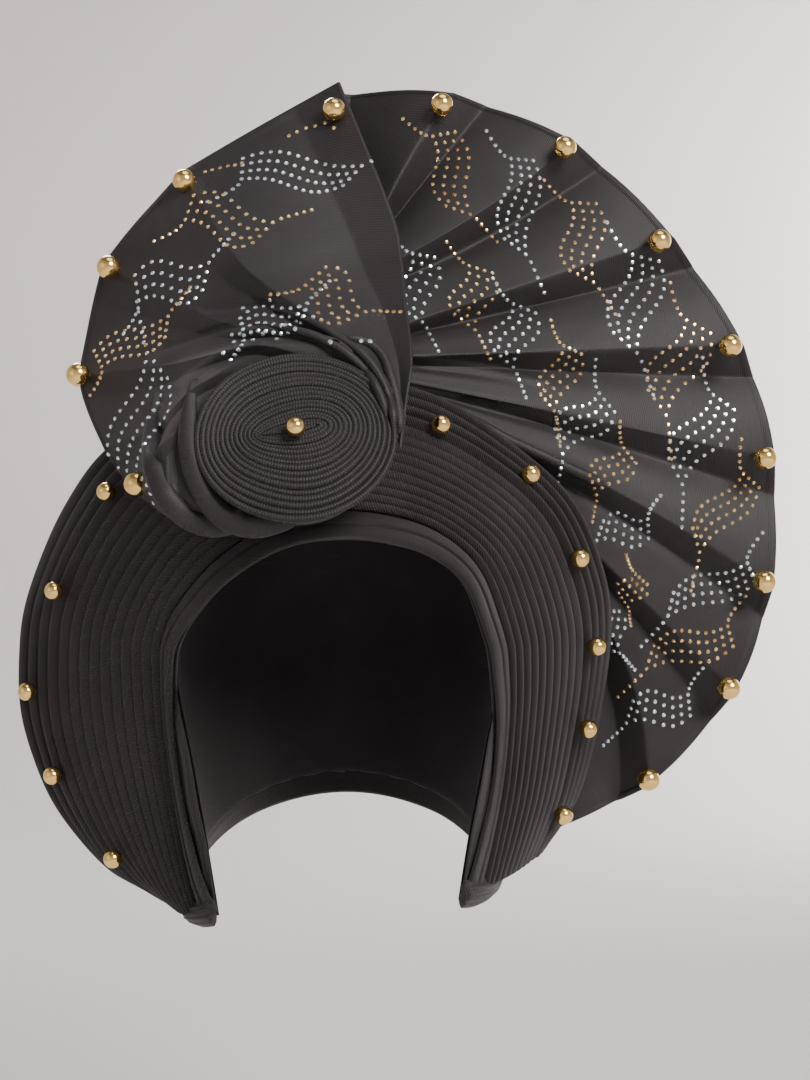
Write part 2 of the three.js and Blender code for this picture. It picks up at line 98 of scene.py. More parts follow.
# Stations round the face, from the left jaw over the brow to the right jaw: the opening's edge on the head
# as a turn in degrees and a height, and the brim's outer edge there
STATIONS = table(
    "turn height x y z",
    (-48, -103.5, -71, -8, -107),
    (-55, -90, -100, 3, -96),
    (-61, -66, -124, 8, -71),
    (-63, -42, -138, 8, -36),
    (-60, -20, -139, 6, -4),
    (-53.5, 0, -133, 2, 24),
    (-43, 15, -116, -8, 58),
    (-32, 28, -92, -22, 84),
    (-20, 38, -52, -46, 95),
    (-9, 43, -12, -57, 97),
    (4, 44.5, 8, -55, 105),
    (17, 43, 36, -47, 101),
    (30.5, 38, 66, -37, 84),
    (42, 27, 94, -26, 61),
    (48, 9, 109, -15, 31),
    (54, -10, 113.5, -8, 3),
    (60, -33, 110, 1, -32),
    (61, -62, 102, 6, -65),
    (52.5, -97, 87, 8, -89),
)
FIRST_PLACE = 0.1
SPLIT_PLACE = 9
LAST_PLACE = 17.9

# The cap's hem and the nape band, from the right jaw round the nape to the left jaw
HEM = table(
    "turn height",
    (51, -102),
    (75, -104),
    (105, -92),
    (140, -76),
    (180, -68),
    (220, -76),
    (255, -94),
    (282, -111),
    (312, -108),
)
CAP_POLE = np.array([0.0, 18.0, 94.0])
CAP_FACE_SHARE = 0.6
CAP_ROWS = 76
CAP_COLUMNS = 500
CAP_SOFTENINGS = 40
CAP_SEAMS = (0.06, 0.3, 0.54, 0.68, 0.8, 0.92)
SEAM = named(half=2.1, height=1.1)
SEAM_PROFILE = table("height off fall", (1, 1.2, 3), (-1.1, 0, 6))
SEAM_RISE = (0, 0.15)
HEM_LENGTH = 900
CAP_CREASE = named(height=0.35, length=60, stretch=np.array([1, 1, 2.2]))
CAP_GATHERS = named(waves=70, height=0.8)
GATHERS_RISE = (0.45, 0.5)
CAP_INSIDE = 0.1
CAP_OUTSIDE = 1.5
NAPE = table(
    "turn low high swell",
    (48.5, -104, -94.5, 2.4),
    (60, -106, -95.5, 3),
    (80, -105, -97, 2),
    (110, -97, -80, 0.5),
    (145, -84, -58, 0),
    (180, -78, -50, 0),
    (215, -84, -58, 0),
    (250, -99, -80, 0.5),
    (278, -116, -110, 1),
    (299, -115, -105.5, 3),
    (313, -111, -100.5, 2.4),
)
NAPE_TAPER = 0.22
NAPE_WALL = 2.2
NAPE_END_WALL = 0.6
NAPE_GRID = named(rows=260, columns=40)
NAPE_FOLDS = named(waves=4, height=0.45, sway=0.8, sways=0.9)

# The rosette, tipped back, and the strip that is wound round its oblong core
ROSETTE = named(
    centre=np.array([-12.3, -105.0, 82.6]),
    half_width=38.4,
    half_height=35.3,
    tip=math.radians(22),
    depth=25.6,
    lip=3,
    back_share=0.72,
    dome=3,
    step=1.2,
)
ROSETTE_SPREAD = 1.03
CORE_MIDDLE = (-2.5, 1.0)
CORE_HALF = (9.5, 2.2)
COIL = named(
    turns=17, steps=2400, start=0.0005, power=0.7, end=math.radians(48), crowding=0.2,
    half=0.54, round=0.75, least_round=0.45, drop=2.2, wobble=0.9, wobble_length=38,
)
OUTERMOST_RISE = (0.955, 0.045)
# The coil's upper edge goes up and down a little, in waves along the strip and round the coil
EDGE_WAVES = table("height along round start", (0.3, 2.3 * COIL.turns, 0, 1), (0.25, 5, 1, 0))
# The strip's sides: their share of the way down from its crest, and how much of its half width is left
STRIP_SIDES = ((0.1, 1), (0.35, 0.9), (1, 0.62))
CREST_ANGLES = np.radians(np.linspace(-90, 90, 9))
FACE_UP = np.array([0.0, math.sin(ROSETTE.tip), math.cos(ROSETTE.tip)])
FACE_OUT = np.array([0.0, -math.cos(ROSETTE.tip), math.sin(ROSETTE.tip)])

# Folds of the large fan, from the one hidden behind the small fan round to the right jaw
LARGE_FOLDS = table(
    "hub rim bow",
    ((-16, -6, 160), (-10, 16, 243), 0),
    ((10, -8, 165), (48.6, 4, 240), 3),
    ((-4, -18, 150), (101.7, 2, 218.3), -5),
    ((-8, -30, 123), (145.4, 2, 176.4), 0),
    ((-6, -36, 119), (176.2, 4, 129.2), 0),
    ((-2, -36, 115), (190.4, 6, 79), 1),
    ((8, -36, 111), (190, 8, 23), 7),
    ((46, -28, 92), (173.5, 10, -24), 3),
    ((78, -14, 44), (135.5, 12, -65), 16),
    ((85, 0, 8), (91.5, 17, -85.3), 8),
)
# Folds of the small fan, from its free right edge round to its lower left end: the angle at which each
# leaves the rosette's side, how far behind the rosette's face it does so, the points that it passes, the
# last one at the rim, and how deep the valley after it is
SMALL_FOLDS = table(
    "turn behind dip points",
    (-5, 3, 1.0, [(28, -94, 98), (30, -84, 115), (28, -62, 139),
                  (26, -45, 160), (22, -32, 181), (-1, 2, 244)]),
    (16, 3, 1.2, [(22, -97, 101), (12, -91, 115), (-4, -81, 128),
                  (-28, -63, 146), (-44, -48, 163), (-69, -4, 204)]),
    (50, 3, 1.1, [(3, -91, 119), (-12, -86, 124), (-29, -78, 126),
                  (-48, -62, 132), (-70, -40, 144), (-102, -11, 162)]),
    (84, 4, 0.9, [(-24, -91, 118), (-38, -88, 117), (-52, -79, 115),
                  (-66, -63, 114), (-85, -42, 114), (-111, -18, 114)]),
    (120, 5, 0.5, [(-40, -91, 108), (-50, -94, 103), (-59, -92, 96),
                   (-67, -79, 90), (-79, -60, 86), (-96, -38, 81)]),
    (158, 7, 0.2, [(-53, -96, 89), (-60, -102, 83), (-65, -101, 77),
                   (-68, -92, 70), (-73, -77, 65), (-79, -59, 61.5)]),
    (195, 7, 0.1, [(-53, -104, 69), (-59, -108, 63), (-60, -107, 58),
                   (-59, -101, 54), (-59, -90, 52), (-61, -77, 51)]),
    (264, 8, 0, [(-19, -112, 48), (-20, -112, 48), (-21, -111, 48),
                 (-22, -108, 48), (-22, -104, 48.5), (-20, -99, 49.5)]),
)
# Valleys: their share of the way to the next fold, how far back they lie at hub, middle and rim, and how
# far they reach past the folds at the rim. The dips scale each large valley near the hub
LARGE_VALLEY = named(share=0.26, hub=3, middle=10, rim=9, reach=1.7)
SMALL_VALLEY = named(share=0.3, hub=1.5, middle=6, rim=5, reach=1.6)
LARGE_DIPS = [1, 1, 1, 0.9, 0.75, 0.35, 0.5, 0.9, 1]
RIM_SWELL = 0.35
NEAR_RIM = 0.96
REACH_POWER = 4

# The fans' cloth: steps down to a valley and up from it, rows along the folds, and its waves
LARGE_CLOTH = named(steep=10, long=20, rows=120, wave=0.5, wave_length=55, softenings=4)
SMALL_CLOTH = named(steep=13, long=24, rows=165, wave=0.5, wave_length=60, softenings=5)
SMALL_WAVE_RISE = (0, 0.3)
LARGE_BULGE = named(hub=0.6, rim=1.6)
LARGE_PULLS = named(height=0.5, waves=3.3, lean=2, power=1.5)

# The rim's raised selvedge and the rows of points that it needs, and the large fan's foot, which spreads
# over the cap at its first folds
LAST_EVEN_ROW = 0.97
RIM_ROWS = [0.976, 0.982, 0.986, 0.992, 0.997, 1]
WELT_HEIGHT = 0.45
WELT_RISE = (0.982, 0.004)
FOOT = named(rows=20, last=0.95, power=1.3, flare=48, off=CAP_WALL + 1)
PAST_FLARE_RISE = (0, 2.6)
FOOT_PLEATS = named(height=1.1, waves=4)
PAST_PLEATS_RISE = (4.5, 2)

# Leaves of stones, as the camera sees them against the plane through the middle of the head: the middle of
# each leaf's upper end, the middle of its lower end and its width
LARGE_LEAVES = table(
    "x z to_x to_z wide stones",
    (45, 221, 51, 188, 14, "gold"),
    (79, 210, 76, 172, 14, "silver"),
    (106, 191, 105, 159, 15, "gold"),
    (133, 167, 124, 130, 17, "silver"),
    (156, 137, 138, 104, 17, "gold"),
    (167, 104, 146, 74, 16, "silver"),
    (179, 70, 155, 44, 13, "gold"),
    (179, 30, 144, 16, 12, "silver"),
    (170, 2, 135, -7, 13, "gold"),
    (152, -28, 126, -31, 13, "silver"),
    (36, 168, 31, 142, 14, "silver"),
    (61, 162, 54, 139, 15, "gold"),
    (80, 145, 71, 123, 15, "silver"),
    (101, 127, 90, 104, 12, "gold"),
    (116, 104, 95, 87, 15, "silver"),
    (126, 81, 110, 68, 12, "gold"),
    (134, 49, 113, 48, 12, "silver"),
    (131, 27, 123, 18, 10, "gold"),
    (118, 13, 118, -4, 10, "silver"),
)
SMALL_LEAVES = table(
    "x z to_x to_z wide stones",
    (-43, 206, 5, 203, 13, "silver"),
    (-66, 189, -34, 178, 16, "gold"),
    (-89, 154, -59, 159, 16, "silver"),
    (-106, 123, -76, 137, 11, "gold"),
    (-95, 75, -80, 120, 17, "silver"),
    (-11, 159, 5, 141, 17, "gold"),
    (-43, 137, -16, 143, 11, "silver"),
)
# Single stones, seen in the same way
SMALL_STONES = dict(
    gold=[
        (-22.6, 220.3), (-19.1, 222), (-15.2, 223.8), (-11.3, 224.7), (-6.9, 226), (-3, 223.8),
        (-59.3, 204.6), (-56.2, 205.5), (-52.7, 206.3), (-49.2, 207.2), (-46.2, 207.6), (-43.1, 208.5),
    ],
    silver=[
        (-47.5, 133.5), (-44, 133.9), (-38.3, 131.3), (-34, 133.9), (-27.9, 131.7), (-46.6, 130.4),
        (-51.4, 125.6), (-24.4, 137.8), (-12.1, 141.3), (-42.7, 145.2), (-4.7, 130.4), (8.8, 130.8),
        (12.7, 130.8), (-30.9, 148.7), (-27.4, 151.3),
    ],
)
# Soft folds and creases of the fans' cloth: the path that the camera sees in the same way, how wide and
# how high each is. A crease has a height below nought
SWELL = named(steps=60, fade_in=0.18, fade_out=0.12, power=1.6)
LARGE_SWELLS = table(
    "wide high path",
    (6, 1.2, [(32, 122), (50, 120), (70, 117), (92, 113)]),
)
SMALL_SWELLS = table(
    "wide high path",
    (7, 1.3, [(-84, 122), (-76.7, 124.3), (-61.5, 128.7), (-46, 133.5), (-34, 134.5), (-24, 132)]),
    (5.5, 1.2, [(-73, 108.5), (-69, 112.5), (-61.5, 118.6), (-51.9, 124.7), (-42, 128.7),
                (-31, 130.4)]),
    (9, -1.8, [(-71, 112), (-73.5, 98), (-73.5, 80), (-71, 62), (-67, 50)]),
    (5.5, -1.5, [(-64, 144.6), (-55, 145.2), (-45, 146), (-36, 147.4), (-28, 146)]),
    (4.5, -1.2, [(-78, 127.8), (-66, 131.5), (-50, 137), (-36, 138)]),
)
# Crisp rolled folds that lie over the fans, in the same way
LARGE_ROLLS = table(
    "wide high path",
    (5, 2.2, [(30, 108), (40, 104), (49, 100), (61, 94), (74, 87), (88, 80.5), (103, 73.5), (118, 67)]),
)
SMALL_ROLLS = table(
    "wide high path",
    (4.4, 2.2, [(-4, 133), (3, 132), (9, 131), (14.5, 128), (19, 122.5), (21.5, 115), (24, 106),
                (25.5, 95), (25, 88)]),
    (3.5, 1.9, [(-31, 145), (-23, 143.3), (-15.6, 140.5), (-8.2, 136.8), (-1.7, 132.6), (4, 129),
                (9.2, 125.2), (14, 120), (18, 113.4), (21, 106), (22.8, 98.5), (23, 90)]),
    (3.5, 1.8, [(-40, 138), (-33, 137.5), (-26.5, 136.8), (-19, 135.2), (-11.3, 133), (-4.7, 129.8),
                (0.9, 126.6), (6.6, 122), (11.9, 116.5), (15.8, 110), (18.6, 103), (20.4, 95)]),
)
# Soft rolled folds round the rosette's lower left side, which lie on the small fan only
SOFT_ROLLS = table(
    "wide high path",
    (9.4, 2.6, [(-63, 118), (-65.5, 105), (-66.2, 92), (-64.8, 79), (-61, 67), (-54.5, 57.5),
                (-45.5, 51.5), (-35, 50.5), (-24, 54), (-14, 60)]),
    (8.4, 2.2, [(-79, 112), (-82, 98), (-82.5, 84), (-80, 71), (-74.5, 60.5), (-66, 53), (-55, 50),
                (-44, 53), (-34, 59)]),
)
# How many steps along a roll its seat is evened over, and how a roll ends: shares of its length and width
FINE_REACH = 3
SOFT_REACH = 9
ROLL = named(steps=90, fade_in=0.3, fade_out=0.12, narrow=0.3, sunk=0.4, end_high=0.2, sole=0.9, below=1.4)

# One stone, and one leaf of four rows of stones with a tail at each end that leaves it aslant: shares of
# the leaf's length and width
STONE = named(radius=1.0, table=0.55, sunk=-0.25, girdle=0.12, height=0.6, sides=8)
LEAF = named(
    rows=4, pitch=3.6, least=4, pinch=0.3, sway=0.17, slant=0.16, tail=5, tail_aside=0.4,
    upper_out=0.775, upper_long=0.294, upper_bend=1.5, lower_start=1.08, lower_out=0.62, lower_long=0.42,
)

# A bead: its thread hole as shares of its radius, and the hole's lip
BEAD = named(bore=0.11, mouth=0.16, throat=0.3, lip=0.1, rings=22, sides=32)

# Radians of the weave's fine threads to a metre of cloth
THREADS = 9000
BUMP_STRENGTH = 0.8

# The backdrop's bowl and the lights, in metres and watts
BACKDROP = named(floor=-0.42, radius=3.2, bend=1.2, top=3.5, hole=0.001, arcs=12, sides=96)
BACKDROP_COLOUR = (0.66, 0.635, 0.63)
LIGHTS = table(
    "name at to size watts colour",
    ("key", (1.2, -1.75, 1.4), (0, 0, 0.05), 1.2, 88, (1.0, 0.98, 0.96)),
    ("fill", (-1.7, -1.4, 0.5), (0, 0, 0.05), 1.4, 2, (0.95, 0.96, 1.0)),
    ("top", (0.3, -0.4, 2.3), (0, 0, 0.1), 1.5, 12, (1.0, 1.0, 1.0)),
    ("back", (-0.5, 1.5, 1.35), (0, 0, 0), 0.7, 20, (1.0, 1.0, 1.0)),
    ("wall", (1.5, 1.7, 0.9), (1.4, 3, 0.3), 0.8, 78, (1.0, 0.98, 0.95)),
)
SKY_COLOUR = (0.85, 0.86, 0.9)
SKY_STRENGTH = 0.25

# A small step along the stations, for the way that a surface faces there
STATION_STEP = 0.02


def unit(vectors):
    return vectors / np.maximum(np.linalg.norm(vectors, axis=-1, keepdims=True), 1e-9)


def lerp(a, b, share):
    return a + (b - a) * share


def smooth(share):
    """A share from 0 to 1 that starts and ends gently."""
    share = np.clip(share, 0, 1)
    return share * share * (3 - 2 * share)


def rising(value, start, width):
    """From 0 to 1, gently, while a value goes on from start over a width."""
    return smooth((value - start) / width)


def between(a, b, c, d, t):
    """A share of the way from b to c on a smooth curve through a, b, c and d."""
    return b + 0.5 * t * (c - a + t * (2 * a - 5 * b + 4 * c - d + t * (3 * (b - c) + d - a)))


def along_rows(rows, column, place):
    """A smooth value through a table's rows, at places that may lie between two rows."""
    values = np.array([getattr(row, column) for row in rows], float)
    last = len(values) - 1
    place = np.asarray(place, float)
    first = np.clip(np.floor(place).astype(int), 0, last - 1)
    return between(*(values[np.clip(first + k, 0, last)] for k in (-1, 0, 1, 2)), place - first)


def curve_at(points, t):
    """Points on Bezier curves whose control points are in the last axis but one."""
    t = np.asarray(t, float)[..., None]
    last = points.shape[-2] - 1
    weights = [math.comb(last, k) * t**k * (1 - t) ** (last - k) for k in range(last + 1)]
    return sum(weight * points[..., k, :] for k, weight in enumerate(weights))


def ripple(points, length, seed, waves=7):
    """A smooth random field of about -1 to 1 over points, whose bumps are about length apart."""
    random = np.random.default_rng(seed)
    field = 0
    for _ in range(waves):
        direction = unit(random.normal(size=3))
        phase = random.uniform(0, 2 * math.pi)
        stretch = random.uniform(0.7, 1.4)
        field = field + np.sin(2 * math.pi * stretch * (points @ direction) / length + phase)
    return field / math.sqrt(waves)


def girth(below, off):
    """The half width and half depth of the head, off outside it, at a height that is nought or below it."""
    width = HEAD.half_width + off + HEAD.width_taper * below
    return width, HEAD.half_depth + off + HEAD.depth_taper * below


def head_at(turn, height, off):
    """A point of the head at a turn in degrees from the front, off outside it."""
    turn = np.radians(turn)
    level = np.sqrt(np.maximum(0, 1 - (np.maximum(height, 0) / (HEAD.crown + off)) ** 2))
    width, depth = girth(np.minimum(height, 0), off)
    across, forward = width * level * np.sin(turn), depth * level * np.cos(turn)
    return np.stack([across, -forward, height + 0 * turn], axis=-1)


def onto_head(points, off):
    """The place on the head along a line from its middle, or level with the point below the widest level."""
    x, y, z = np.moveaxis(points, -1, 0)
    width, depth = girth(np.minimum(z, 0), off)
    above = np.maximum(z, 0) / (HEAD.crown + off)
    scale = 1 / np.sqrt((x / width) ** 2 + (y / depth) ** 2 + above**2)
    return np.stack([x * scale, y * scale, np.where(z > 0, z * scale, z)], axis=-1)


def opening_at(place, off):
    return head_at(along_rows(STATIONS, "turn", place), along_rows(STATIONS, "height", place), off)


def across_band(place, width, off):
    """A point on the head, width outside the face opening's edge."""
    edge = opening_at(place, off)
    along = unit(opening_at(place + STATION_STEP, off) - opening_at(place - STATION_STEP, off))
    out = unit(onto_head(edge, np.asarray(off) + 1) - edge)
    across = unit(np.cross(out, along))
    return onto_head(edge + across * np.asarray(width, float)[..., None], off)


def brim_at(place, share):
    """The brim without its pleats, from the band (share 0) to its outer edge (share 1)."""
    inner = across_band(place, BAND_WIDTH + BRIM_SEAT + 0 * place, ON_CAP)
    outer = np.stack([along_rows(STATIONS, axis, place) for axis in "xyz"], axis=-1)
    out = unit(onto_head(inner, BRIM_LEAN) - inner)
    middle = (inner + outer) / 2 + BRIM_BULGE * out
    return curve_at(np.stack([inner, middle, outer], axis=-2), share)


def on_rosette(angle, share, height):
    """A point of the rosette: an angle round its face, a share of its radius and a height over its face."""
    angle, share, height = (np.asarray(value, float)[..., None] for value in (angle, share, height))
    across = ROSETTE.half_width * share * np.cos(angle)
    up = ROSETTE.half_height * share * np.sin(angle)
    return across * RIGHT + up * FACE_UP + height * FACE_OUT + ROSETTE.centre


def beside_rosette(turn, behind):
    """A point of the rosette's side, behind its face."""
    share = 1 - (1 - ROSETTE.back_share) * behind / ROSETTE.depth
    return on_rosette(turn, share * ROSETTE_SPREAD, -behind)


def large_fold(fold):
    """A fold's line on the large fan: hub, bowed middle and rim."""
    hub, rim = np.array(fold.hub, float), np.array(fold.rim, float)
    aside = unit(np.array([hub[2] - rim[2], 0, rim[0] - hub[0]]))
    return np.array([hub, (hub + rim) / 2 + 2 * fold.bow * aside, rim])


def small_fold(fold):
    """A fold's line on the small fan: it leaves the rosette's side and sweeps round to the rim."""
    start = beside_rosette(math.radians(fold.turn), fold.behind)
    return np.array([start] + [np.array(point, float) for point in fold.points])


def sweep(points, t):
    """Points on smooth curves through points, which are in the last axis but one."""
    last = points.shape[-2] - 1
    place = np.asarray(t, float) * last
    first = np.clip(np.floor(place).astype(int), 0, last - 1)
    spots = [np.clip(first + k, 0, last)[..., None, None] for k in (-1, 0, 1, 2)]
    near = [np.take_along_axis(points, spot, axis=-2)[..., 0, :] for spot in spots]
    return between(*near, (place - first)[..., None])


class Fan:
    """A fan's cloth as a surface over a fold number (place) and a share of the fold's length (along)."""

    def __init__(self, lines, line_at, valley, depths, dips):
        self.lines = np.array(lines)
        self.line_at = line_at
        self.valley = valley
        self.depths = np.array(depths, float)[:, None]
        self.dips = np.array(dips, float)

    def on_line(self, fold, along):
        return self.line_at(self.lines[np.clip(fold, 0, len(self.lines) - 1)], along)

    def at(self, place, along):
        place, along = np.broadcast_arrays(np.asarray(place, float), np.asarray(along, float))
        first = np.clip(np.floor(place).astype(int), 0, len(self.lines) - 2)
        t = (place - first)[..., None]
        near = [self.on_line(first + k, along) for k in (-1, 0, 1, 2)]
        straight = lerp(near[1], near[2], t)
        swelling = between(*near, t)
        swell = RIM_SWELL * smooth(along)[..., None]
        share = t[..., 0]
        split = self.valley.share
        fall = np.minimum(share / split, (1 - share) / (1 - split))
        depth = curve_at(self.depths, along) * (fall * lerp(self.dips[first], 1, smooth(along)))[..., None]
        outward = unit(self.on_line(first, 1 + 0 * along) - self.on_line(first, NEAR_RIM + 0 * along))
        reach = self.valley.reach * fall * along**REACH_POWER
        return lerp(straight, swelling, swell) + BACK * depth + outward * reach[..., None]


LARGE = Fan(
    [large_fold(fold) for fold in LARGE_FOLDS],
    curve_at,
    LARGE_VALLEY,
    [
        LARGE_VALLEY.hub,
        2 * LARGE_VALLEY.middle - (LARGE_VALLEY.hub + LARGE_VALLEY.rim) / 2,
        LARGE_VALLEY.rim,
    ],
    LARGE_DIPS,
)
SMALL = Fan(
    [small_fold(fold) for fold in SMALL_FOLDS],
    sweep,
    SMALL_VALLEY,
    [SMALL_VALLEY.hub, SMALL_VALLEY.middle, SMALL_VALLEY.middle, SMALL_VALLEY.rim],
    [fold.dip for fold in SMALL_FOLDS],
)


def seen_at(points):
    """Where the camera sees points, as x and z in the plane through the middle of the head."""
    eye = np.array(CAMERA_AT, float)
    seen = eye + (points - eye) * (eye[1] / (eye[1] - points[..., 1:2]))
    return seen[..., [0, 2]]


def path_line(path, share):
    """Points at shares of the way along a fold's path."""
    path = np.array(path, float)
    return sweep(np.broadcast_to(path, (len(share), *path.shape)), share)


def fading(share, ends):
    """From 0 at a fold's ends to 1 between them."""
    return smooth(share / ends.fade_in) * smooth((1 - share) / ends.fade_out)


def laid_folds(grid, folds):
    """How far the soft folds raise each point of a fan's cloth. They fade out at their ends."""
    seen = seen_at(grid)[..., None, :]
    share = np.linspace(0, 1, SWELL.steps)
    rise = np.zeros(grid.shape[:2])
    for fold in folds:
        away = np.linalg.norm(seen - path_line(fold.path, share), axis=-1)
        across = np.clip(away.min(-1) / (0.5 * fold.wide), 0, 1)
        rise += fold.high * fading(share, SWELL)[away.argmin(-1)] * (1 - across**2) ** SWELL.power
    return rise


def grid_normals(grid, towards):
    """Normals of a grid of points, on the side that towards says at each point."""
    down = np.gradient(grid, axis=0)
    across = np.gradient(grid, axis=1)
    normal = unit(np.cross(across, down))
    side = np.sign(np.sum(normal * towards, axis=-1, keepdims=True))
    return normal * np.where(side == 0, 1, side)


def lengths(grid, axis):
    """How far each point lies along its row or column from the first one."""
    steps = np.linalg.norm(np.diff(grid, axis=axis), axis=-1)
    start = np.zeros_like(np.take(steps, [0], axis=axis))
    return np.concatenate([start, np.cumsum(steps, axis=axis)], axis=axis)


def rounded(front, back, axis):
    """Adds a line of points before the first and after the last one that rounds off the wall's edge."""
    middle = (front + back) / 2
    half = np.linalg.norm(front - back, axis=-1, keepdims=True) / 2
    ends = []
    for first, second in ((0, 1), (-1, -2)):
        edge, inner = (np.take(middle, [k], axis=axis) for k in (first, second))
        ends.append(edge + unit(edge - inner) * np.take(half, [first], axis=axis))
    return [np.concatenate([ends[0], side, ends[1]], axis=axis) for side in (front, back)]


def mesh_of(name, points, faces, uvs=None, rounded_off=True):
    """An object in metres from points in millimetres, smooth, with uvs in metres for each face corner."""
    mesh = bpy.data.meshes.new(name)
    mesh.from_pydata((np.asarray(points) * MM).tolist(), [], faces)
    mesh.polygons.foreach_set("use_smooth", np.full(len(mesh.polygons), rounded_off))
    if uvs is not None:
        layer = mesh.uv_layers.new(name="cloth")
        layer.data.foreach_set("uv", (np.asarray(uvs) * MM).astype(np.float32).ravel())
    mesh.update()
    piece = bpy.data.objects.new(name, mesh)
    bpy.context.scene.collection.objects.link(piece)
    return piece


def outwards(points, faces):
    """1 where a closed solid's faces look outwards, and -1 where their corners have to be turned round."""
    a, b, d = (points[faces[:, k]] - points.mean(0) for k in (0, 1, 3))
    return -1 if np.sum(a * np.cross(b - a, d - a)) < 0 else 1


def cloth_wall(name, front, back, loops=False):
    """A closed cloth wall between two grids of points, with rounded edges. Its uv runs along the rows'
    direction (u, down the grid) and across them (v)."""
    front, back = rounded(front, back, axis=0)
    if not loops:
        front, back = rounded(front, back, axis=1)
    rows, columns = front.shape[:2]
    number = np.arange(rows * columns).reshape(rows, columns)
    inner = np.zeros((rows, columns), bool)
    inner[1:-1, (0 if loops else 1) : (columns if loops else -1)] = True
    behind = number.copy()
    behind[inner] = rows * columns + np.arange(inner.sum())
    points = np.concatenate([front.reshape(-1, 3), back[inner]])
    shown = np.concatenate([front, front[:, :1]], axis=1) if loops else front
    u, v = lengths(shown, axis=0), lengths(shown, axis=1)
    middle = v[:, v.shape[1] // 2][:, None]
    uv_grid = np.stack([u, v - middle], axis=-1)
    spans = columns if loops else columns - 1
    r, c = (index.ravel() for index in np.mgrid[0 : rows - 1, 0:spans])
    corners = [(r, c), (r, c + 1), (r + 1, c + 1), (r + 1, c)]
    faces, uvs = [], []
    for numbers, order in ((number, corners), (behind, corners[::-1])):
        faces.append(np.stack([numbers[row, column % columns] for row, column in order], axis=-1))
        uvs.append(np.stack([uv_grid[row, column] for row, column in order], axis=1))
    faces, uvs = np.concatenate(faces), np.concatenate(uvs)
    turn = outwards(points, faces)
    return mesh_of(name, points, faces[:, ::turn].tolist(), uvs[:, ::turn])


# Materials
class Look:
    """A material, and the nodes that go into it."""

    def __init__(self, name):
        self.material = bpy.data.materials.new(name)
        self.material.use_nodes = True
        self.nodes, self.links = self.material.node_tree.nodes, self.material.node_tree.links
        self.sockets = self.nodes["Principled BSDF"].inputs

    def set(self, values):
        for name, value in values.items():
            self.sockets[name].default_value = value

    def math(self, operation, *inputs):
        node = self.nodes.new("ShaderNodeMath")
        node.operation = operation
        for socket, value in zip(node.inputs, inputs):
            if isinstance(value, (int, float)):
                socket.default_value = value
            else:
                self.links.new(value, socket)
        return node.outputs[0]

    def noise(self, scale, detail):
        node = self.nodes.new("ShaderNodeTexNoise")
        node.inputs["Scale"].default_value = scale
        node.inputs["Detail"].default_value = detail
        self.links.new(self.nodes.new("ShaderNodeTexCoord").outputs["Object"], node.inputs["Vector"])
        return node.outputs["Fac"]

    def colour(self, value, *stops):
        """Colours the surface by a value. A stop is a value and its colour."""
        ramp = self.nodes.new("ShaderNodeValToRGB")
        elements = ramp.color_ramp.elements
        for element, (position, colour) in ((elements[0], stops[0]), (elements[1], stops[-1])):
            element.position = position
            element.color = (*colour, 1)
        for position, colour in stops[1:-1]:
            elements.new(position).color = (*colour, 1)
        self.links.new(value, ramp.inputs[0])
        self.links.new(ramp.outputs[0], self.sockets["Base Color"])

    def roughness(self, value, low, high):
        """Makes the surface rougher as a value goes from 0 to 1."""
        node = self.nodes.new("ShaderNodeMapRange")
        node.inputs["To Min"].default_value = low
        node.inputs["To Max"].default_value = high
        self.links.new(value, node.inputs["Value"])
        self.links.new(node.outputs[0], self.sockets["Roughness"])

    def bump(self, height, distance):
        node = self.nodes.new("ShaderNodeBump")
        node.inputs["Strength"].default_value = BUMP_STRENGTH
        node.inputs["Distance"].default_value = distance
        self.links.new(height, node.inputs["Height"])
        self.links.new(node.outputs[0], self.sockets["Normal"])


def ribbed_cloth(name, dark, light, rib, rib_height, roughness, sheen):
    """Stiff satin cloth with fine cross ribs, whose pitch (rib) and height are in metres."""
    look = Look(name)
    place = look.nodes.new("ShaderNodeUVMap")
    place.uv_map = "cloth"
    split = look.nodes.new("ShaderNodeSeparateXYZ")
    look.links.new(place.outputs["UV"], split.inputs[0])
    shift = look.math("MULTIPLY", look.noise(scale=60, detail=2), 1.2)
    turns = look.math("MULTIPLY", split.outputs[0], 2 * math.pi / rib)
    ribs = look.math("SINE", look.math("ADD", turns, shift))
    threads = look.math("SINE", look.math("MULTIPLY", split.outputs[1], THREADS))
    look.bump(look.math("ADD", ribs, look.math("MULTIPLY", threads, 0.25)), rib_height)
    patches = look.math("MULTIPLY", look.noise(scale=25, detail=4), 0.75)
    fleck = look.noise(scale=900, detail=2)
    mixed = look.math("MULTIPLY_ADD", fleck, 0.35, patches)
    look.colour(look.math("MULTIPLY_ADD", ribs, 0.12, mixed), (0.25, dark), (0.85, light))
    look.roughness(fleck, roughness - 0.07, roughness + 0.08)
    look.set({"Specular IOR Level": 0.3, "Sheen Weight": sheen, "Sheen Roughness": 0.35})
    look.set({"Sheen Tint": (0.75, 0.68, 0.72, 1)})
    return look.material


def polished_gold():
    look = Look("polished_gold")
    look.colour(look.noise(scale=350, detail=3), (0, (0.84, 0.52, 0.13)), (1, (0.98, 0.72, 0.28)))
    look.roughness(look.noise(scale=900, detail=2), 0.08, 0.2)
    look.set({"Metallic": 1})
    return look.material


def foiled_stone(name, colours):
    """Foil-backed stones: the colour changes a little from stone to stone."""
    look = Look(name)
    look.colour(look.noise(scale=330, detail=1), *zip((0.35, 0.5, 0.65), colours))
    look.set({"Metallic": 0.75, "Roughness": 0.12, "Coat Weight": 0.8, "Coat Roughness": 0.03})
    return look.material


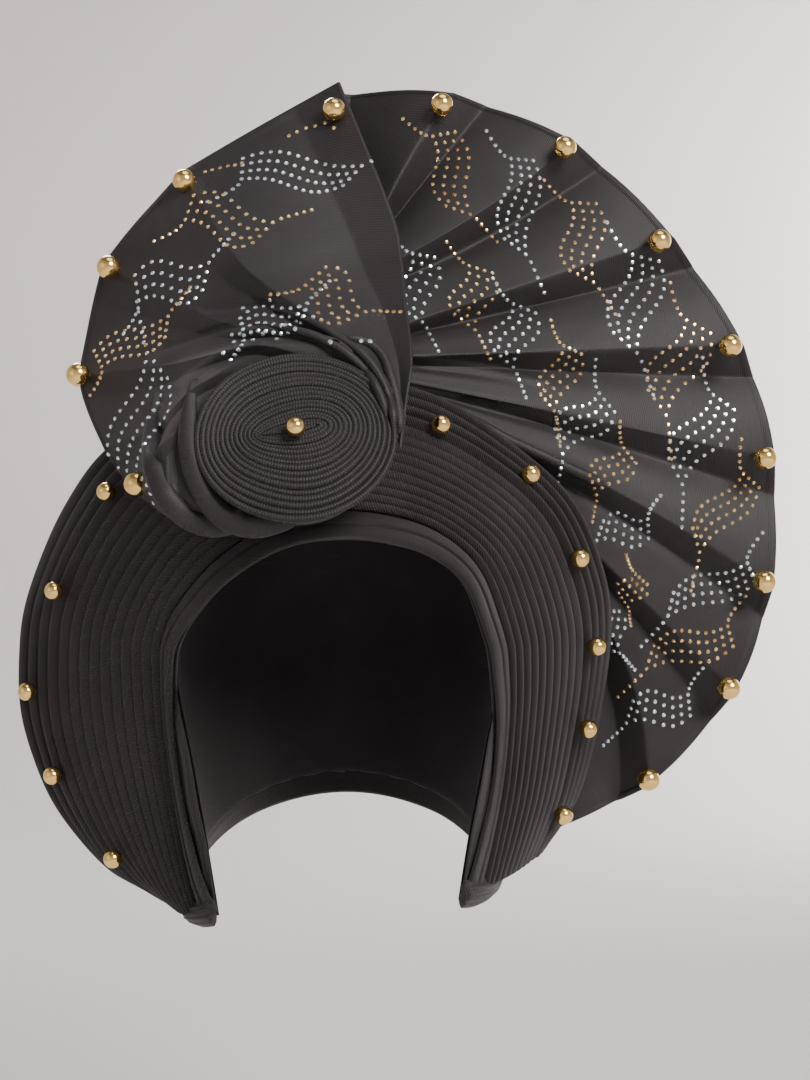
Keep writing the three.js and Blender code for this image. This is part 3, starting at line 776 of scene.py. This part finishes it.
WRAP = ribbed_cloth(
    "wrap_cloth_ribbed", dark=(0.007, 0.0058, 0.006), light=(0.024, 0.020, 0.0205),
    rib=0.0011, rib_height=0.00018, roughness=0.5, sheen=0.1,
)
ROLLED = ribbed_cloth(
    "wrap_cloth_rolled", dark=(0.0065, 0.0055, 0.0058), light=(0.022, 0.0185, 0.019),
    rib=0.00105, rib_height=0.00008, roughness=0.55, sheen=0.1,
)
FAN_CLOTH = ribbed_cloth(
    "wrap_cloth_satin", dark=(0.008, 0.0066, 0.007), light=(0.024, 0.020, 0.021),
    rib=0.0009, rib_height=0.00005, roughness=0.5, sheen=0.08,
)
CAP_CLOTH = ribbed_cloth(
    "cap_cloth_plain", dark=(0.010, 0.009, 0.009), light=(0.026, 0.023, 0.024),
    rib=0.0008, rib_height=0.00006, roughness=0.75, sheen=0.2,
)
GOLD = polished_gold()
SILVER_STONE = foiled_stone("silver_stones", [(0.4, 0.5, 0.58), (0.88, 0.92, 0.92), (0.42, 0.58, 0.54)])
GOLD_STONE = foiled_stone("gold_stones", [(0.5, 0.27, 0.11), (0.85, 0.64, 0.32), (0.45, 0.33, 0.18)])


def dress(piece, material, slot, *nodes):
    """Gives a piece its material, and lets it stand for CAD nodes and ride with the body. The slot is not
    used.
    """
    piece.data.materials.append(material)
    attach(piece, "root")
    if nodes:
        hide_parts(*nodes)
    return piece


# Cloth pieces
def cap():
    """The plain cap under the wrap, from its pole to its edge, with seams and gathers above its hem."""
    share = np.arange(CAP_COLUMNS) / CAP_COLUMNS
    face_place = lerp(FIRST_PLACE, LAST_PLACE, share / CAP_FACE_SHARE)
    on_face = across_band(np.clip(face_place, FIRST_PLACE, LAST_PLACE), 1 + 0 * share, 0)
    hem_place = (len(HEM) - 1) * (share - CAP_FACE_SHARE) / (1 - CAP_FACE_SHARE)
    hem_place = np.clip(hem_place, 0, len(HEM) - 1)
    on_hem = head_at(along_rows(HEM, "turn", hem_place), along_rows(HEM, "height", hem_place), 0)
    edge = np.where((share < CAP_FACE_SHARE)[:, None], on_face, on_hem)
    down = (np.arange(CAP_ROWS) + 0.5)[:, None] / (CAP_ROWS - 0.5)
    grid = onto_head(lerp(CAP_POLE, edge[None], down[..., None]), 0)
    grid = np.swapaxes(soften(np.swapaxes(grid, 0, 1), CAP_SOFTENINGS), 0, 1)
    out = unit(onto_head(grid, 1) - grid)
    crease = CAP_CREASE.height * ripple(grid * CAP_CREASE.stretch, CAP_CREASE.length, seed=3)
    off_seam = np.abs(share[:, None] - np.array(CAP_SEAMS)).min(axis=1) * HEM_LENGTH * down / SEAM.half
    seams = sum(row.height * np.exp(-row.fall * (off_seam - row.off) ** 2) for row in SEAM_PROFILE)
    seams = SEAM.height * seams * rising(down, *SEAM_RISE)
    gathers = CAP_GATHERS.height * np.sin(2 * math.pi * CAP_GATHERS.waves * share)
    gathers = gathers * (share > CAP_FACE_SHARE) * rising(down, *GATHERS_RISE)
    outer = grid + out * (CAP_OUTSIDE + crease + seams + gathers)[..., None]
    return cloth_wall("cap_shell", outer, grid + out * CAP_INSIDE, loops=True)


def brow_band():
    """A strip folded on itself and lapped, round the face opening."""
    share, lift = np.array(BAND_PROFILE).T
    place = np.linspace(FIRST_PLACE, LAST_PLACE, BAND_ROWS)[:, None]
    width = share[None] * BAND_WIDTH
    inside = across_band(place + 0 * width, width + 0 * place, ON_CAP)
    out = unit(onto_head(inside, ON_CAP + 1) - inside)
    return cloth_wall("brow_band_cloth", inside + out * (BAND_WALL + lift)[None, :, None], inside)


def pleat_profile(phase):
    """Height of a knife pleat over its width: a long rise to a rounded crest, then a tuck."""
    crest = PLEAT.crest
    rise = np.sin(0.5 * math.pi * np.clip(phase / crest, 0, 1)) ** PLEAT.rise_power
    tuck = np.cos(0.5 * math.pi * np.clip((phase - crest) / (1 - crest), 0, 1)) ** PLEAT.tuck_power
    return np.where(phase < crest, rise, tuck)


def brim(name, start, end):
    """Half of the brim: knife pleats side by side, parallel to the face opening."""
    place = np.linspace(start, end, BRIM_ROWS)[:, None]
    pleat = np.linspace(0, BRIM_PLEATS, BRIM_PLEATS * PLEAT.steps + 1)[None, :]
    share = pleat / BRIM_PLEATS
    share = share * (1 - BRIM_WIDENING + BRIM_WIDENING * share)
    base = brim_at(place + 0 * share, share + 0 * place)
    normal = grid_normals(base, -BACK)
    phase = pleat % 1
    phase[:, -1] = 1
    over_brow = rising(place, *BROW_RISE) * (1 - rising(place, *PAST_BROW_RISE))
    deeper = (PLEAT_DEPTH.outer + PLEAT_DEPTH.over_brow * over_brow) * rising(share, *DEEP_RISE)
    round_fold = np.sin(math.pi * phase) ** PLEAT.round_power
    height = lerp(pleat_profile(phase), round_fold, over_brow * rising(share, *ROUND_RISE))
    lift = height * (PLEAT_DEPTH.inner + deeper)
    lift = lift + BRIM_WAVE.height * ripple(base, BRIM_WAVE.length, seed=5)
    front = base + normal * (lift + BRIM_WALL)[..., None]
    back = base + normal * (PLEAT_DEPTH.back_share * lift)[..., None]
    return cloth_wall(name, front, back)


def nape_band():
    """The end of the cloth, drawn from jaw to jaw round the nape, with the creases of its gathers."""
    last = len(NAPE) - 1
    place = np.linspace(0, last, NAPE_GRID.rows)[:, None]
    share = np.linspace(0, 1, NAPE_GRID.columns)[None, :]
    from_end = np.minimum(place, last - place) / NAPE_TAPER
    full = np.sqrt(1 - (1 - np.clip(from_end, 0, 1)) ** 2)
    low, high = along_rows(NAPE, "low", place), along_rows(NAPE, "high", place)
    height = lerp(low, high, 0.5 + (share - 0.5) * full)
    turn = along_rows(NAPE, "turn", place) + 0 * share
    inside = head_at(turn, height, ON_CAP)
    out = unit(head_at(turn, height, ON_CAP + 1) - inside)
    swell = np.maximum(along_rows(NAPE, "swell", place), 0) * np.sin(math.pi * share)
    sway = NAPE_FOLDS.sway * np.sin(NAPE_FOLDS.sways * place)
    folds = np.sin(2 * math.pi * NAPE_FOLDS.waves * share + sway) * np.sin(math.pi * share) ** 0.5
    thick = lerp(NAPE_END_WALL, NAPE_WALL + swell + NAPE_FOLDS.height * folds, full)
    return cloth_wall("nape_band_cloth", inside + out * thick[..., None], inside)


def fold_shares(split, steep, long):
    """Shares across one fold, closer together at its crest and its valley."""
    ease = [0.5 - 0.5 * math.cos(math.pi * k / n) for n in (steep, long) for k in range(n)]
    return np.array([split * e for e in ease[:steep]] + [lerp(split, 1, e) for e in ease[steep:]])


def soften(grid, passes):
    """Rounds creases that run down the grid, by averaging each point with its neighbours across."""
    for _ in range(passes):
        inner = (grid[:, :-2] + 2 * grid[:, 1:-1] + grid[:, 2:]) / 4
        grid = np.concatenate([grid[:, :1], inner, grid[:, -1:]], axis=1)
    return grid


def fan_grid(fan, cloth):
    """Fold numbers across a fan, shares along its folds, and its points there."""
    shares = fold_shares(fan.valley.share, cloth.steep, cloth.long)
    folds = len(fan.lines) - 1
    place = np.append((np.arange(folds)[:, None] + shares).ravel(), folds)[None, :]
    along = np.concatenate([np.linspace(0, LAST_EVEN_ROW, cloth.rows), RIM_ROWS])[:, None]
    return place, along, fan.at(place + 0 * along, along + 0 * place)


def raised(grid, height):
    """Moves each point of a fan's cloth out of its front."""
    return grid + grid_normals(grid, -BACK) * height[..., None]


def with_swells(grid, cloth, swells, along):
    """Softens a fan's creases, then adds its soft folds and the raised selvedge along its rim."""
    grid = soften(grid, cloth.softenings)
    return grid - BACK * (laid_folds(grid, swells) + WELT_HEIGHT * rising(along, *WELT_RISE))[..., None]


def fan_wall(name, grid):
    return cloth_wall(name, grid, grid - grid_normals(grid, -BACK) * FAN_WALL)


def fan_large():
    """The big folded fan, gathered at its hub and down to the cap behind the small fan."""
    place, along, grid = fan_grid(LARGE, LARGE_CLOTH)
    split = LARGE_VALLEY.share
    bulge = np.sin(math.pi * np.clip((place % 1 - split) / (1 - split), 0, 1))
    bulge = bulge * (LARGE_BULGE.hub + LARGE_BULGE.rim * along)
    pulls = LARGE_PULLS.height * (1 - along) ** LARGE_PULLS.power
    pulls = pulls * np.sin(2 * math.pi * LARGE_PULLS.waves * place + LARGE_PULLS.lean * along)
    waves = LARGE_CLOTH.wave * ripple(grid, LARGE_CLOTH.wave_length, seed=11)
    grid = with_swells(raised(grid, bulge + pulls + waves), LARGE_CLOTH, LARGE_SWELLS, along)
    flare = FOOT.flare * (1 - rising(place, *PAST_FLARE_RISE))[..., None] * RIGHT
    foot = onto_head(grid[:1] - flare, FOOT.off)
    pleats = FOOT_PLEATS.height * np.sin(2 * math.pi * FOOT_PLEATS.waves * place)
    pleats = (pleats * (1 - rising(place, *PAST_PLEATS_RISE)))[..., None] * BACK
    foot_rows = []
    for share in np.linspace(0, FOOT.last, FOOT.rows):
        foot_rows.append(lerp(foot, grid[:1], share ** FOOT.power) + pleats * math.sin(math.pi * share))
    return fan_wall("fan_large_cloth", np.concatenate(foot_rows + [grid]))


def fan_small():
    """The smaller fan, whose folds sweep round into the rosette."""
    _, along, grid = fan_grid(SMALL, SMALL_CLOTH)
    waves = SMALL_CLOTH.wave * ripple(grid, SMALL_CLOTH.wave_length, seed=17)
    grid = raised(grid, waves * rising(along, *SMALL_WAVE_RISE))
    return fan_wall("fan_small_cloth", with_swells(grid, SMALL_CLOTH, SMALL_SWELLS, along))


def rosette():
    """The wound roll: one folded strip on edge, coiled round an eye beside the middle bead."""
    turns = COIL.turns
    share = np.linspace(COIL.start, 1, COIL.steps) ** COIL.power
    angle = COIL.end + 2 * math.pi * turns * (1 - share)
    middle, half_core = (x * RIGHT + z * FACE_UP for x, z in (CORE_MIDDLE, CORE_HALF))
    core = middle + np.cos(angle)[:, None] * half_core
    from_core = (ROSETTE_SPREAD - 0.5 / turns) * (on_rosette(angle, 1, 0) - ROSETTE.centre) - core
    crowd = 1 + COIL.crowding * (1 - np.cos(angle))
    top = ROSETTE.dome * (1 - share**2) + ROSETTE.step - COIL.drop * rising(share, *OUTERMOST_RISE)
    for wave in EDGE_WAVES:
        top = top + wave.height * np.sin(wave.along * share + wave.round * angle + wave.start)
    line = core + from_core * (share**crowd)[:, None]
    wobble = COIL.wobble * ripple(line, COIL.wobble_length, seed=23) * np.sin(math.pi * share)
    crest = line * (1 + wobble / COIL.wobble_length)[:, None] + top[:, None] * FACE_OUT + ROSETTE.centre
    foot = line * ROSETTE.back_share - ROSETTE.depth * FACE_OUT + ROSETTE.centre
    along = unit(np.gradient(crest, axis=0))
    down = unit(foot - crest)
    side = unit(np.cross(along, down))
    pitch = from_core * (crowd * share ** (crowd - 1) / turns)[:, None]
    half = COIL.half * np.linalg.norm(np.cross(pitch, along), axis=1)[:, None]
    fall = COIL.round * lerp(COIL.least_round, 1, share[:, None]) * half
    ring = []
    for aside in np.sin(CREST_ANGLES):
        ring.append(crest + side * aside * half + down * aside**2 * fall)
    for sides, way in ((STRIP_SIDES, 1), (STRIP_SIDES[::-1], -1)):
        for way_down, narrow in sides:
            ring.append(lerp(crest, foot, way_down) + way * side * half * narrow)
    return mesh_of("rosette_cloth", *coil_parts(np.stack(ring, axis=1)))


def coil_parts(rings):
    """Points, faces and uvs of a closed solid through rings of points. Its uv runs along and around it."""
    steps, count = rings.shape[:2]
    points = rings.reshape(-1, 3)
    number = np.arange(steps * count).reshape(steps, count)
    length = lengths(rings.mean(1, keepdims=True), axis=0)[:, 0]
    around = lengths(np.concatenate([rings, rings[:, :1]], axis=1), axis=1).mean(0)
    r, c = (index.ravel() for index in np.mgrid[0 : steps - 1, 0:count])
    corners = [(r, c), (r, c + 1), (r + 1, c + 1), (r + 1, c)]
    faces = np.stack([number[row, column % count] for row, column in corners], -1)
    uvs = np.stack([np.stack([length[row], around[column]], -1) for row, column in corners], axis=1)
    turn = outwards(points, faces)
    faces, uvs = faces[:, ::turn].tolist(), uvs[:, ::turn].reshape(-1, 2).tolist()
    for row, way in ((0, -turn), (steps - 1, turn)):
        faces.append(number[row][::way].tolist())
        uvs += [[length[row], around[column]] for column in range(count)][::way]
    return points, faces, uvs


def tree_of(piece):
    vertices = [vertex.co.copy() for vertex in piece.data.vertices]
    return BVHTree.FromPolygons(vertices, [tuple(face.vertices) for face in piece.data.polygons])


def seen_hit(trees, x, z):
    """The nearest point of some cloth that the camera sees at x and z of the plane, and its normal."""
    eye = Vector([value * MM for value in CAMERA_AT])
    hits = [tree.ray_cast(eye, Vector([x * MM, 0, z * MM]) - eye) for tree in trees]
    hits = [hit for hit in hits if hit[0] is not None]
    if not hits:
        return None
    nearest = min(hits, key=lambda hit: hit[3])
    return np.array(nearest[0]) / MM, np.array(nearest[1])


def roll_rings(trees, roll, reach):
    """Rings of points of one rolled fold that lies on cloth and sinks into it at both ends."""
    steps = ROLL.steps
    share = np.linspace(0, 1, steps)
    line = path_line(roll.path, share)
    hits = [seen_hit(trees, x, z) for x, z in line]
    found = [k for k in range(steps) if hits[k]]
    depth = np.interp(share, share[found], [hits[k][0][1] for k in found])
    window = 2 * reach + 1
    around = np.pad(depth, 2 * reach, mode="edge")
    nearest = np.array([around[k : k + window].min() for k in range(steps + 2 * reach)])
    depth = np.convolve(nearest, np.full(window, 1 / window), "valid")
    eye = np.array(CAMERA_AT, float)
    plane = np.stack([line[:, 0], 0 * share, line[:, 1]], axis=-1)
    centre = eye + (plane - eye) * ((depth - eye[1]) / -eye[1])[:, None]
    along = unit(np.gradient(centre, axis=0))
    towards = unit(eye - centre)
    out = unit(towards - along * np.sum(towards * along, axis=1, keepdims=True))
    side = np.cross(along, out)
    full = fading(share, ROLL)[:, None]
    half = roll.wide / 2 * lerp(ROLL.narrow, 1, full)
    high = lerp(ROLL.end_high, roll.high, full)
    low = centre - out * ROLL.sunk * roll.wide * (1 - full)
    ring = []
    for aside, rise in zip(np.sin(CREST_ANGLES), np.cos(CREST_ANGLES)):
        ring.append(low + side * aside * half + out * rise * high)
    for aside in (ROLL.sole, -ROLL.sole):
        ring.append(low + side * aside * half - out * ROLL.below)
    return np.stack(ring, axis=1)


def fan_rolls(name, groups):
    """The rolled folds laid over a fan, in one mesh. A group is the cloths under some rolls, the rolls, and
    how many steps along a roll its seat is evened over."""
    points, faces, uvs = np.zeros((0, 3)), [], []
    for cloths, rolls, reach in groups:
        trees = [tree_of(cloth) for cloth in cloths]
        for roll in rolls:
            more_points, more_faces, more_uvs = coil_parts(roll_rings(trees, roll, reach))
            faces += [[corner + len(points) for corner in face] for face in more_faces]
            points = np.concatenate([points, more_points])
            uvs += more_uvs
    return mesh_of(name, points, faces, uvs)


def ring_faces(pairs, sides):
    """Faces between pairs of rings, given by their numbers, where the points go ring by ring."""
    spot = np.arange(sides)
    beside = (spot + 1) % sides
    spans = [(first * sides, second * sides) for first, second in pairs]
    faces = [np.stack([a + spot, b + spot, b + beside, a + beside], axis=-1) for a, b in spans]
    return np.concatenate(faces).tolist()


# Beads and stones
def bead(node):
    """A polished bead in the place of a CAD bead, its hole lying level for the thread."""
    low, high = (np.array(corner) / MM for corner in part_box(node))
    centre, radius = (low + high) / 2, float((high - low).max()) / 2
    mouth, bore = math.asin(BEAD.mouth), BEAD.bore * radius
    angles = np.linspace(mouth, math.pi - mouth, BEAD.rings)
    outside = [(math.cos(a) * radius, math.sin(a) * radius) for a in angles]
    half = outside[0][0] - BEAD.lip
    throat = half * BEAD.throat
    profile = [(throat, bore), (half, bore), *outside, (-half, bore), (-throat, bore)]
    turn = 2 * math.pi * np.arange(BEAD.sides) / BEAD.sides
    points = [[x, r * math.cos(t), r * math.sin(t)] for x, r in profile for t in turn]
    pairs = [(row, (row + 1) % len(profile)) for row in range(len(profile))]
    piece = mesh_of(f"gold_{node}", np.array(points) + centre, ring_faces(pairs, BEAD.sides))
    return dress(piece, GOLD, "gold_bead", node)


def leaf_points(long):
    """Stones of one leaf as shares of its length, from its upper end, and of its width, to its right."""
    stones = []
    count = max(LEAF.least, round(long / LEAF.pitch))
    for row in range(LEAF.rows):
        aside = row / (LEAF.rows - 1) - 0.5
        for k in range(count + 1):
            u = k / count
            spread = 1 - LEAF.pinch * (2 * u - 1) ** 2
            sway = LEAF.sway * math.sin(2 * math.pi * u)
            stones.append((u + LEAF.slant * aside * u, aside * spread + sway))
    start = LEAF.tail_aside
    for k in range(LEAF.tail):
        share = (k + 1) / LEAF.tail
        stones.append((-LEAF.upper_long * share ** LEAF.upper_bend, -start - LEAF.upper_out * share))
        stones.append((LEAF.lower_start + LEAF.lower_long * share, start + LEAF.lower_out * share))
    return stones


def stone_mesh(name, seats):
    """One mesh of cut stones, each a low table cut sitting on the cloth."""
    sides, points, faces = STONE.sides, [], []
    turn = 2 * math.pi * np.arange(sides) / sides
    for seat, normal in seats:
        right = unit(np.cross(normal, UP))
        up = np.cross(right, normal)
        circle = np.cos(turn)[:, None] * right + np.sin(turn)[:, None] * up
        first = len(points)
        for radius, height in (
            (STONE.radius, STONE.sunk),
            (STONE.radius, STONE.girdle),
            (STONE.table, STONE.height),
        ):
            points.extend(seat + radius * circle + height * normal)
        for ring in (0, 1):
            for k in range(sides):
                a, b = first + ring * sides + k, first + ring * sides + (k + 1) % sides
                faces.append([a, b, b + sides, a + sides])
        faces.append([first + 2 * sides + k for k in range(sides)])
        faces.append([first + k for k in reversed(range(sides))])
    return mesh_of(name, points, faces, rounded_off=False)


def fan_stones(cloths, leaves, single, prefix):
    """Sets the leaves' stones and the single ones on a fan's cloth, where the camera sees them."""
    trees = [tree_of(cloth) for cloth in cloths]
    spots = {stones: list(single.get(stones, ())) for stones in ("silver", "gold")}
    for leaf in leaves:
        upper = np.array([leaf.x, leaf.z], float)
        axis = np.array([leaf.to_x, leaf.to_z], float) - upper
        long = np.linalg.norm(axis)
        right = np.array([-axis[1], axis[0]]) / long
        for u, v in leaf_points(long):
            spots[leaf.stones].append(upper + axis * u + right * v * leaf.wide)
    for stones, places in spots.items():
        hits = [seen_hit(trees, x, z) for x, z in places]
        piece = stone_mesh(f"stones_{stones}_{prefix}", [hit for hit in hits if hit])
        dress(piece, SILVER_STONE if stones == "silver" else GOLD_STONE, f"{stones}_stone")


def sheet_of_cloth(piece, material, slot, nodes, flat, held, rests_on, area=None):
    """A piece of cloth in its material, standing for its CAD nodes. The size that it was cut to and what it
    lies on are not used.
    """
    dress(piece, material, slot, *nodes)
    return piece


# Stage and light
def backdrop():
    """A wide pale bowl: a floor below the part that curves up into a wall on every side."""
    look = Look("pale_backdrop")
    look.set({"Base Color": (*BACKDROP_COLOUR, 1), "Roughness": 0.9})
    floor, bend, sides = BACKDROP.floor, BACKDROP.bend, BACKDROP.sides
    flat = BACKDROP.radius - bend
    profile = [(BACKDROP.hole, floor), (flat, floor)]
    for k in range(1, BACKDROP.arcs + 1):
        angle = 0.5 * math.pi * k / BACKDROP.arcs
        profile.append((flat + bend * math.sin(angle), floor + bend * (1 - math.cos(angle))))
    profile.append((BACKDROP.radius, BACKDROP.top))
    turn = 2 * math.pi * np.arange(sides) / sides
    points = [[r * math.cos(t) / MM, r * math.sin(t) / MM, z / MM] for r, z in profile for t in turn]
    pairs = [(row + 1, row) for row in range(len(profile) - 1)]
    piece = mesh_of("backdrop", points, ring_faces(pairs, sides))
    piece.data.materials.append(look.material)


def area_light(row):
    light = bpy.data.lights.new(row.name, "AREA")
    light.shape = "DISK"
    light.size = row.size
    light.energy = row.watts
    light.color = row.colour
    lamp = bpy.data.objects.new(row.name, light)
    lamp.location = row.at
    aim = Vector(row.to) - Vector(row.at)
    lamp.rotation_euler = aim.to_track_quat("-Z", "Y").to_euler()
    bpy.context.scene.collection.objects.link(lamp)


def sky():
    world = bpy.data.worlds.new("studio")
    world.use_nodes = True
    background = world.node_tree.nodes["Background"]
    background.inputs[0].default_value = (*SKY_COLOUR, 1)
    background.inputs[1].default_value = SKY_STRENGTH
    bpy.context.scene.world = world


def camera_at_the_photo():
    camera = bpy.data.objects.new("camera", bpy.data.cameras.new("camera"))
    camera.location = [value * MM for value in CAMERA_AT]
    camera.rotation_euler = (math.radians(90), 0, 0)
    camera.data.lens = LENS
    bpy.context.scene.collection.objects.link(camera)
    bpy.context.scene.camera = camera


# Camera first, then the pieces. What the camera sees sets where the stones and the rolls lie
camera_at_the_photo()
WRAPPED = (WRAP, "wrap_cloth")
FANNED = (FAN_CLOTH, "wrap_cloth")
sheet_of_cloth(cap(), CAP_CLOTH, "cap_cloth", ["crown_cap"], (0.3, 0.36), "stretched", [], area=0.088)
sheet_of_cloth(brow_band(), *WRAPPED, ["brow_band"], (0.0145, 0.42), "folded", ["crown_cap"])
sheet_of_cloth(nape_band(), *WRAPPED, ["nape_band"], (0.021, 0.39), "gathered", ["crown_cap"])
for side, start, end, length in (
    ("left", FIRST_PLACE, SPLIT_PLACE - 0.01, 0.36),
    ("right", SPLIT_PLACE + 0.01, LAST_PLACE, 0.32),
):
    half = brim(f"brim_{side}_cloth", start, end)
    sheet_of_cloth(half, *WRAPPED, [f"brim_{side}"], (0.066, length), "folded", ["crown_cap"])
coiled = rosette()
under_coil = ["brim_left", "brim_right"]
sheet_of_cloth(coiled, ROLLED, "wrap_cloth", ["rosette"], (0.026, 2.0), "folded", under_coil)
large = fan_large()
under_large = ["crown_cap", "brim_right"]
sheet_of_cloth(large, *FANNED, ["fan_large"], (0.14, 0.48), "gathered", under_large, area=0.055)
small = fan_small()
under_small = ["fan_large", "rosette"]
sheet_of_cloth(small, *FANNED, ["fan_small"], (0.13, 0.26), "gathered", under_small, area=0.027)
large_rolls = fan_rolls("fan_large_rolls", [([large], LARGE_ROLLS, FINE_REACH)])
sheet_of_cloth(large_rolls, *FANNED, [], (0.012, 0.1), "folded", [large], area=0.0007)
crisp, soft = ([small, coiled], SMALL_ROLLS, FINE_REACH), ([small], SOFT_ROLLS, SOFT_REACH)
small_rolls = fan_rolls("fan_small_rolls", [crisp, soft])
sheet_of_cloth(small_rolls, *FANNED, [], (0.014, 0.34), "folded", [small, coiled], area=0.0028)
for node in sorted(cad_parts):
    if node.startswith("bead_"):
        bead(node)
fan_stones([large, large_rolls], LARGE_LEAVES, {}, "large")
fan_stones([small, small_rolls], SMALL_LEAVES, SMALL_STONES, "small")
backdrop()
for light_row in LIGHTS:
    area_light(light_row)
sky()
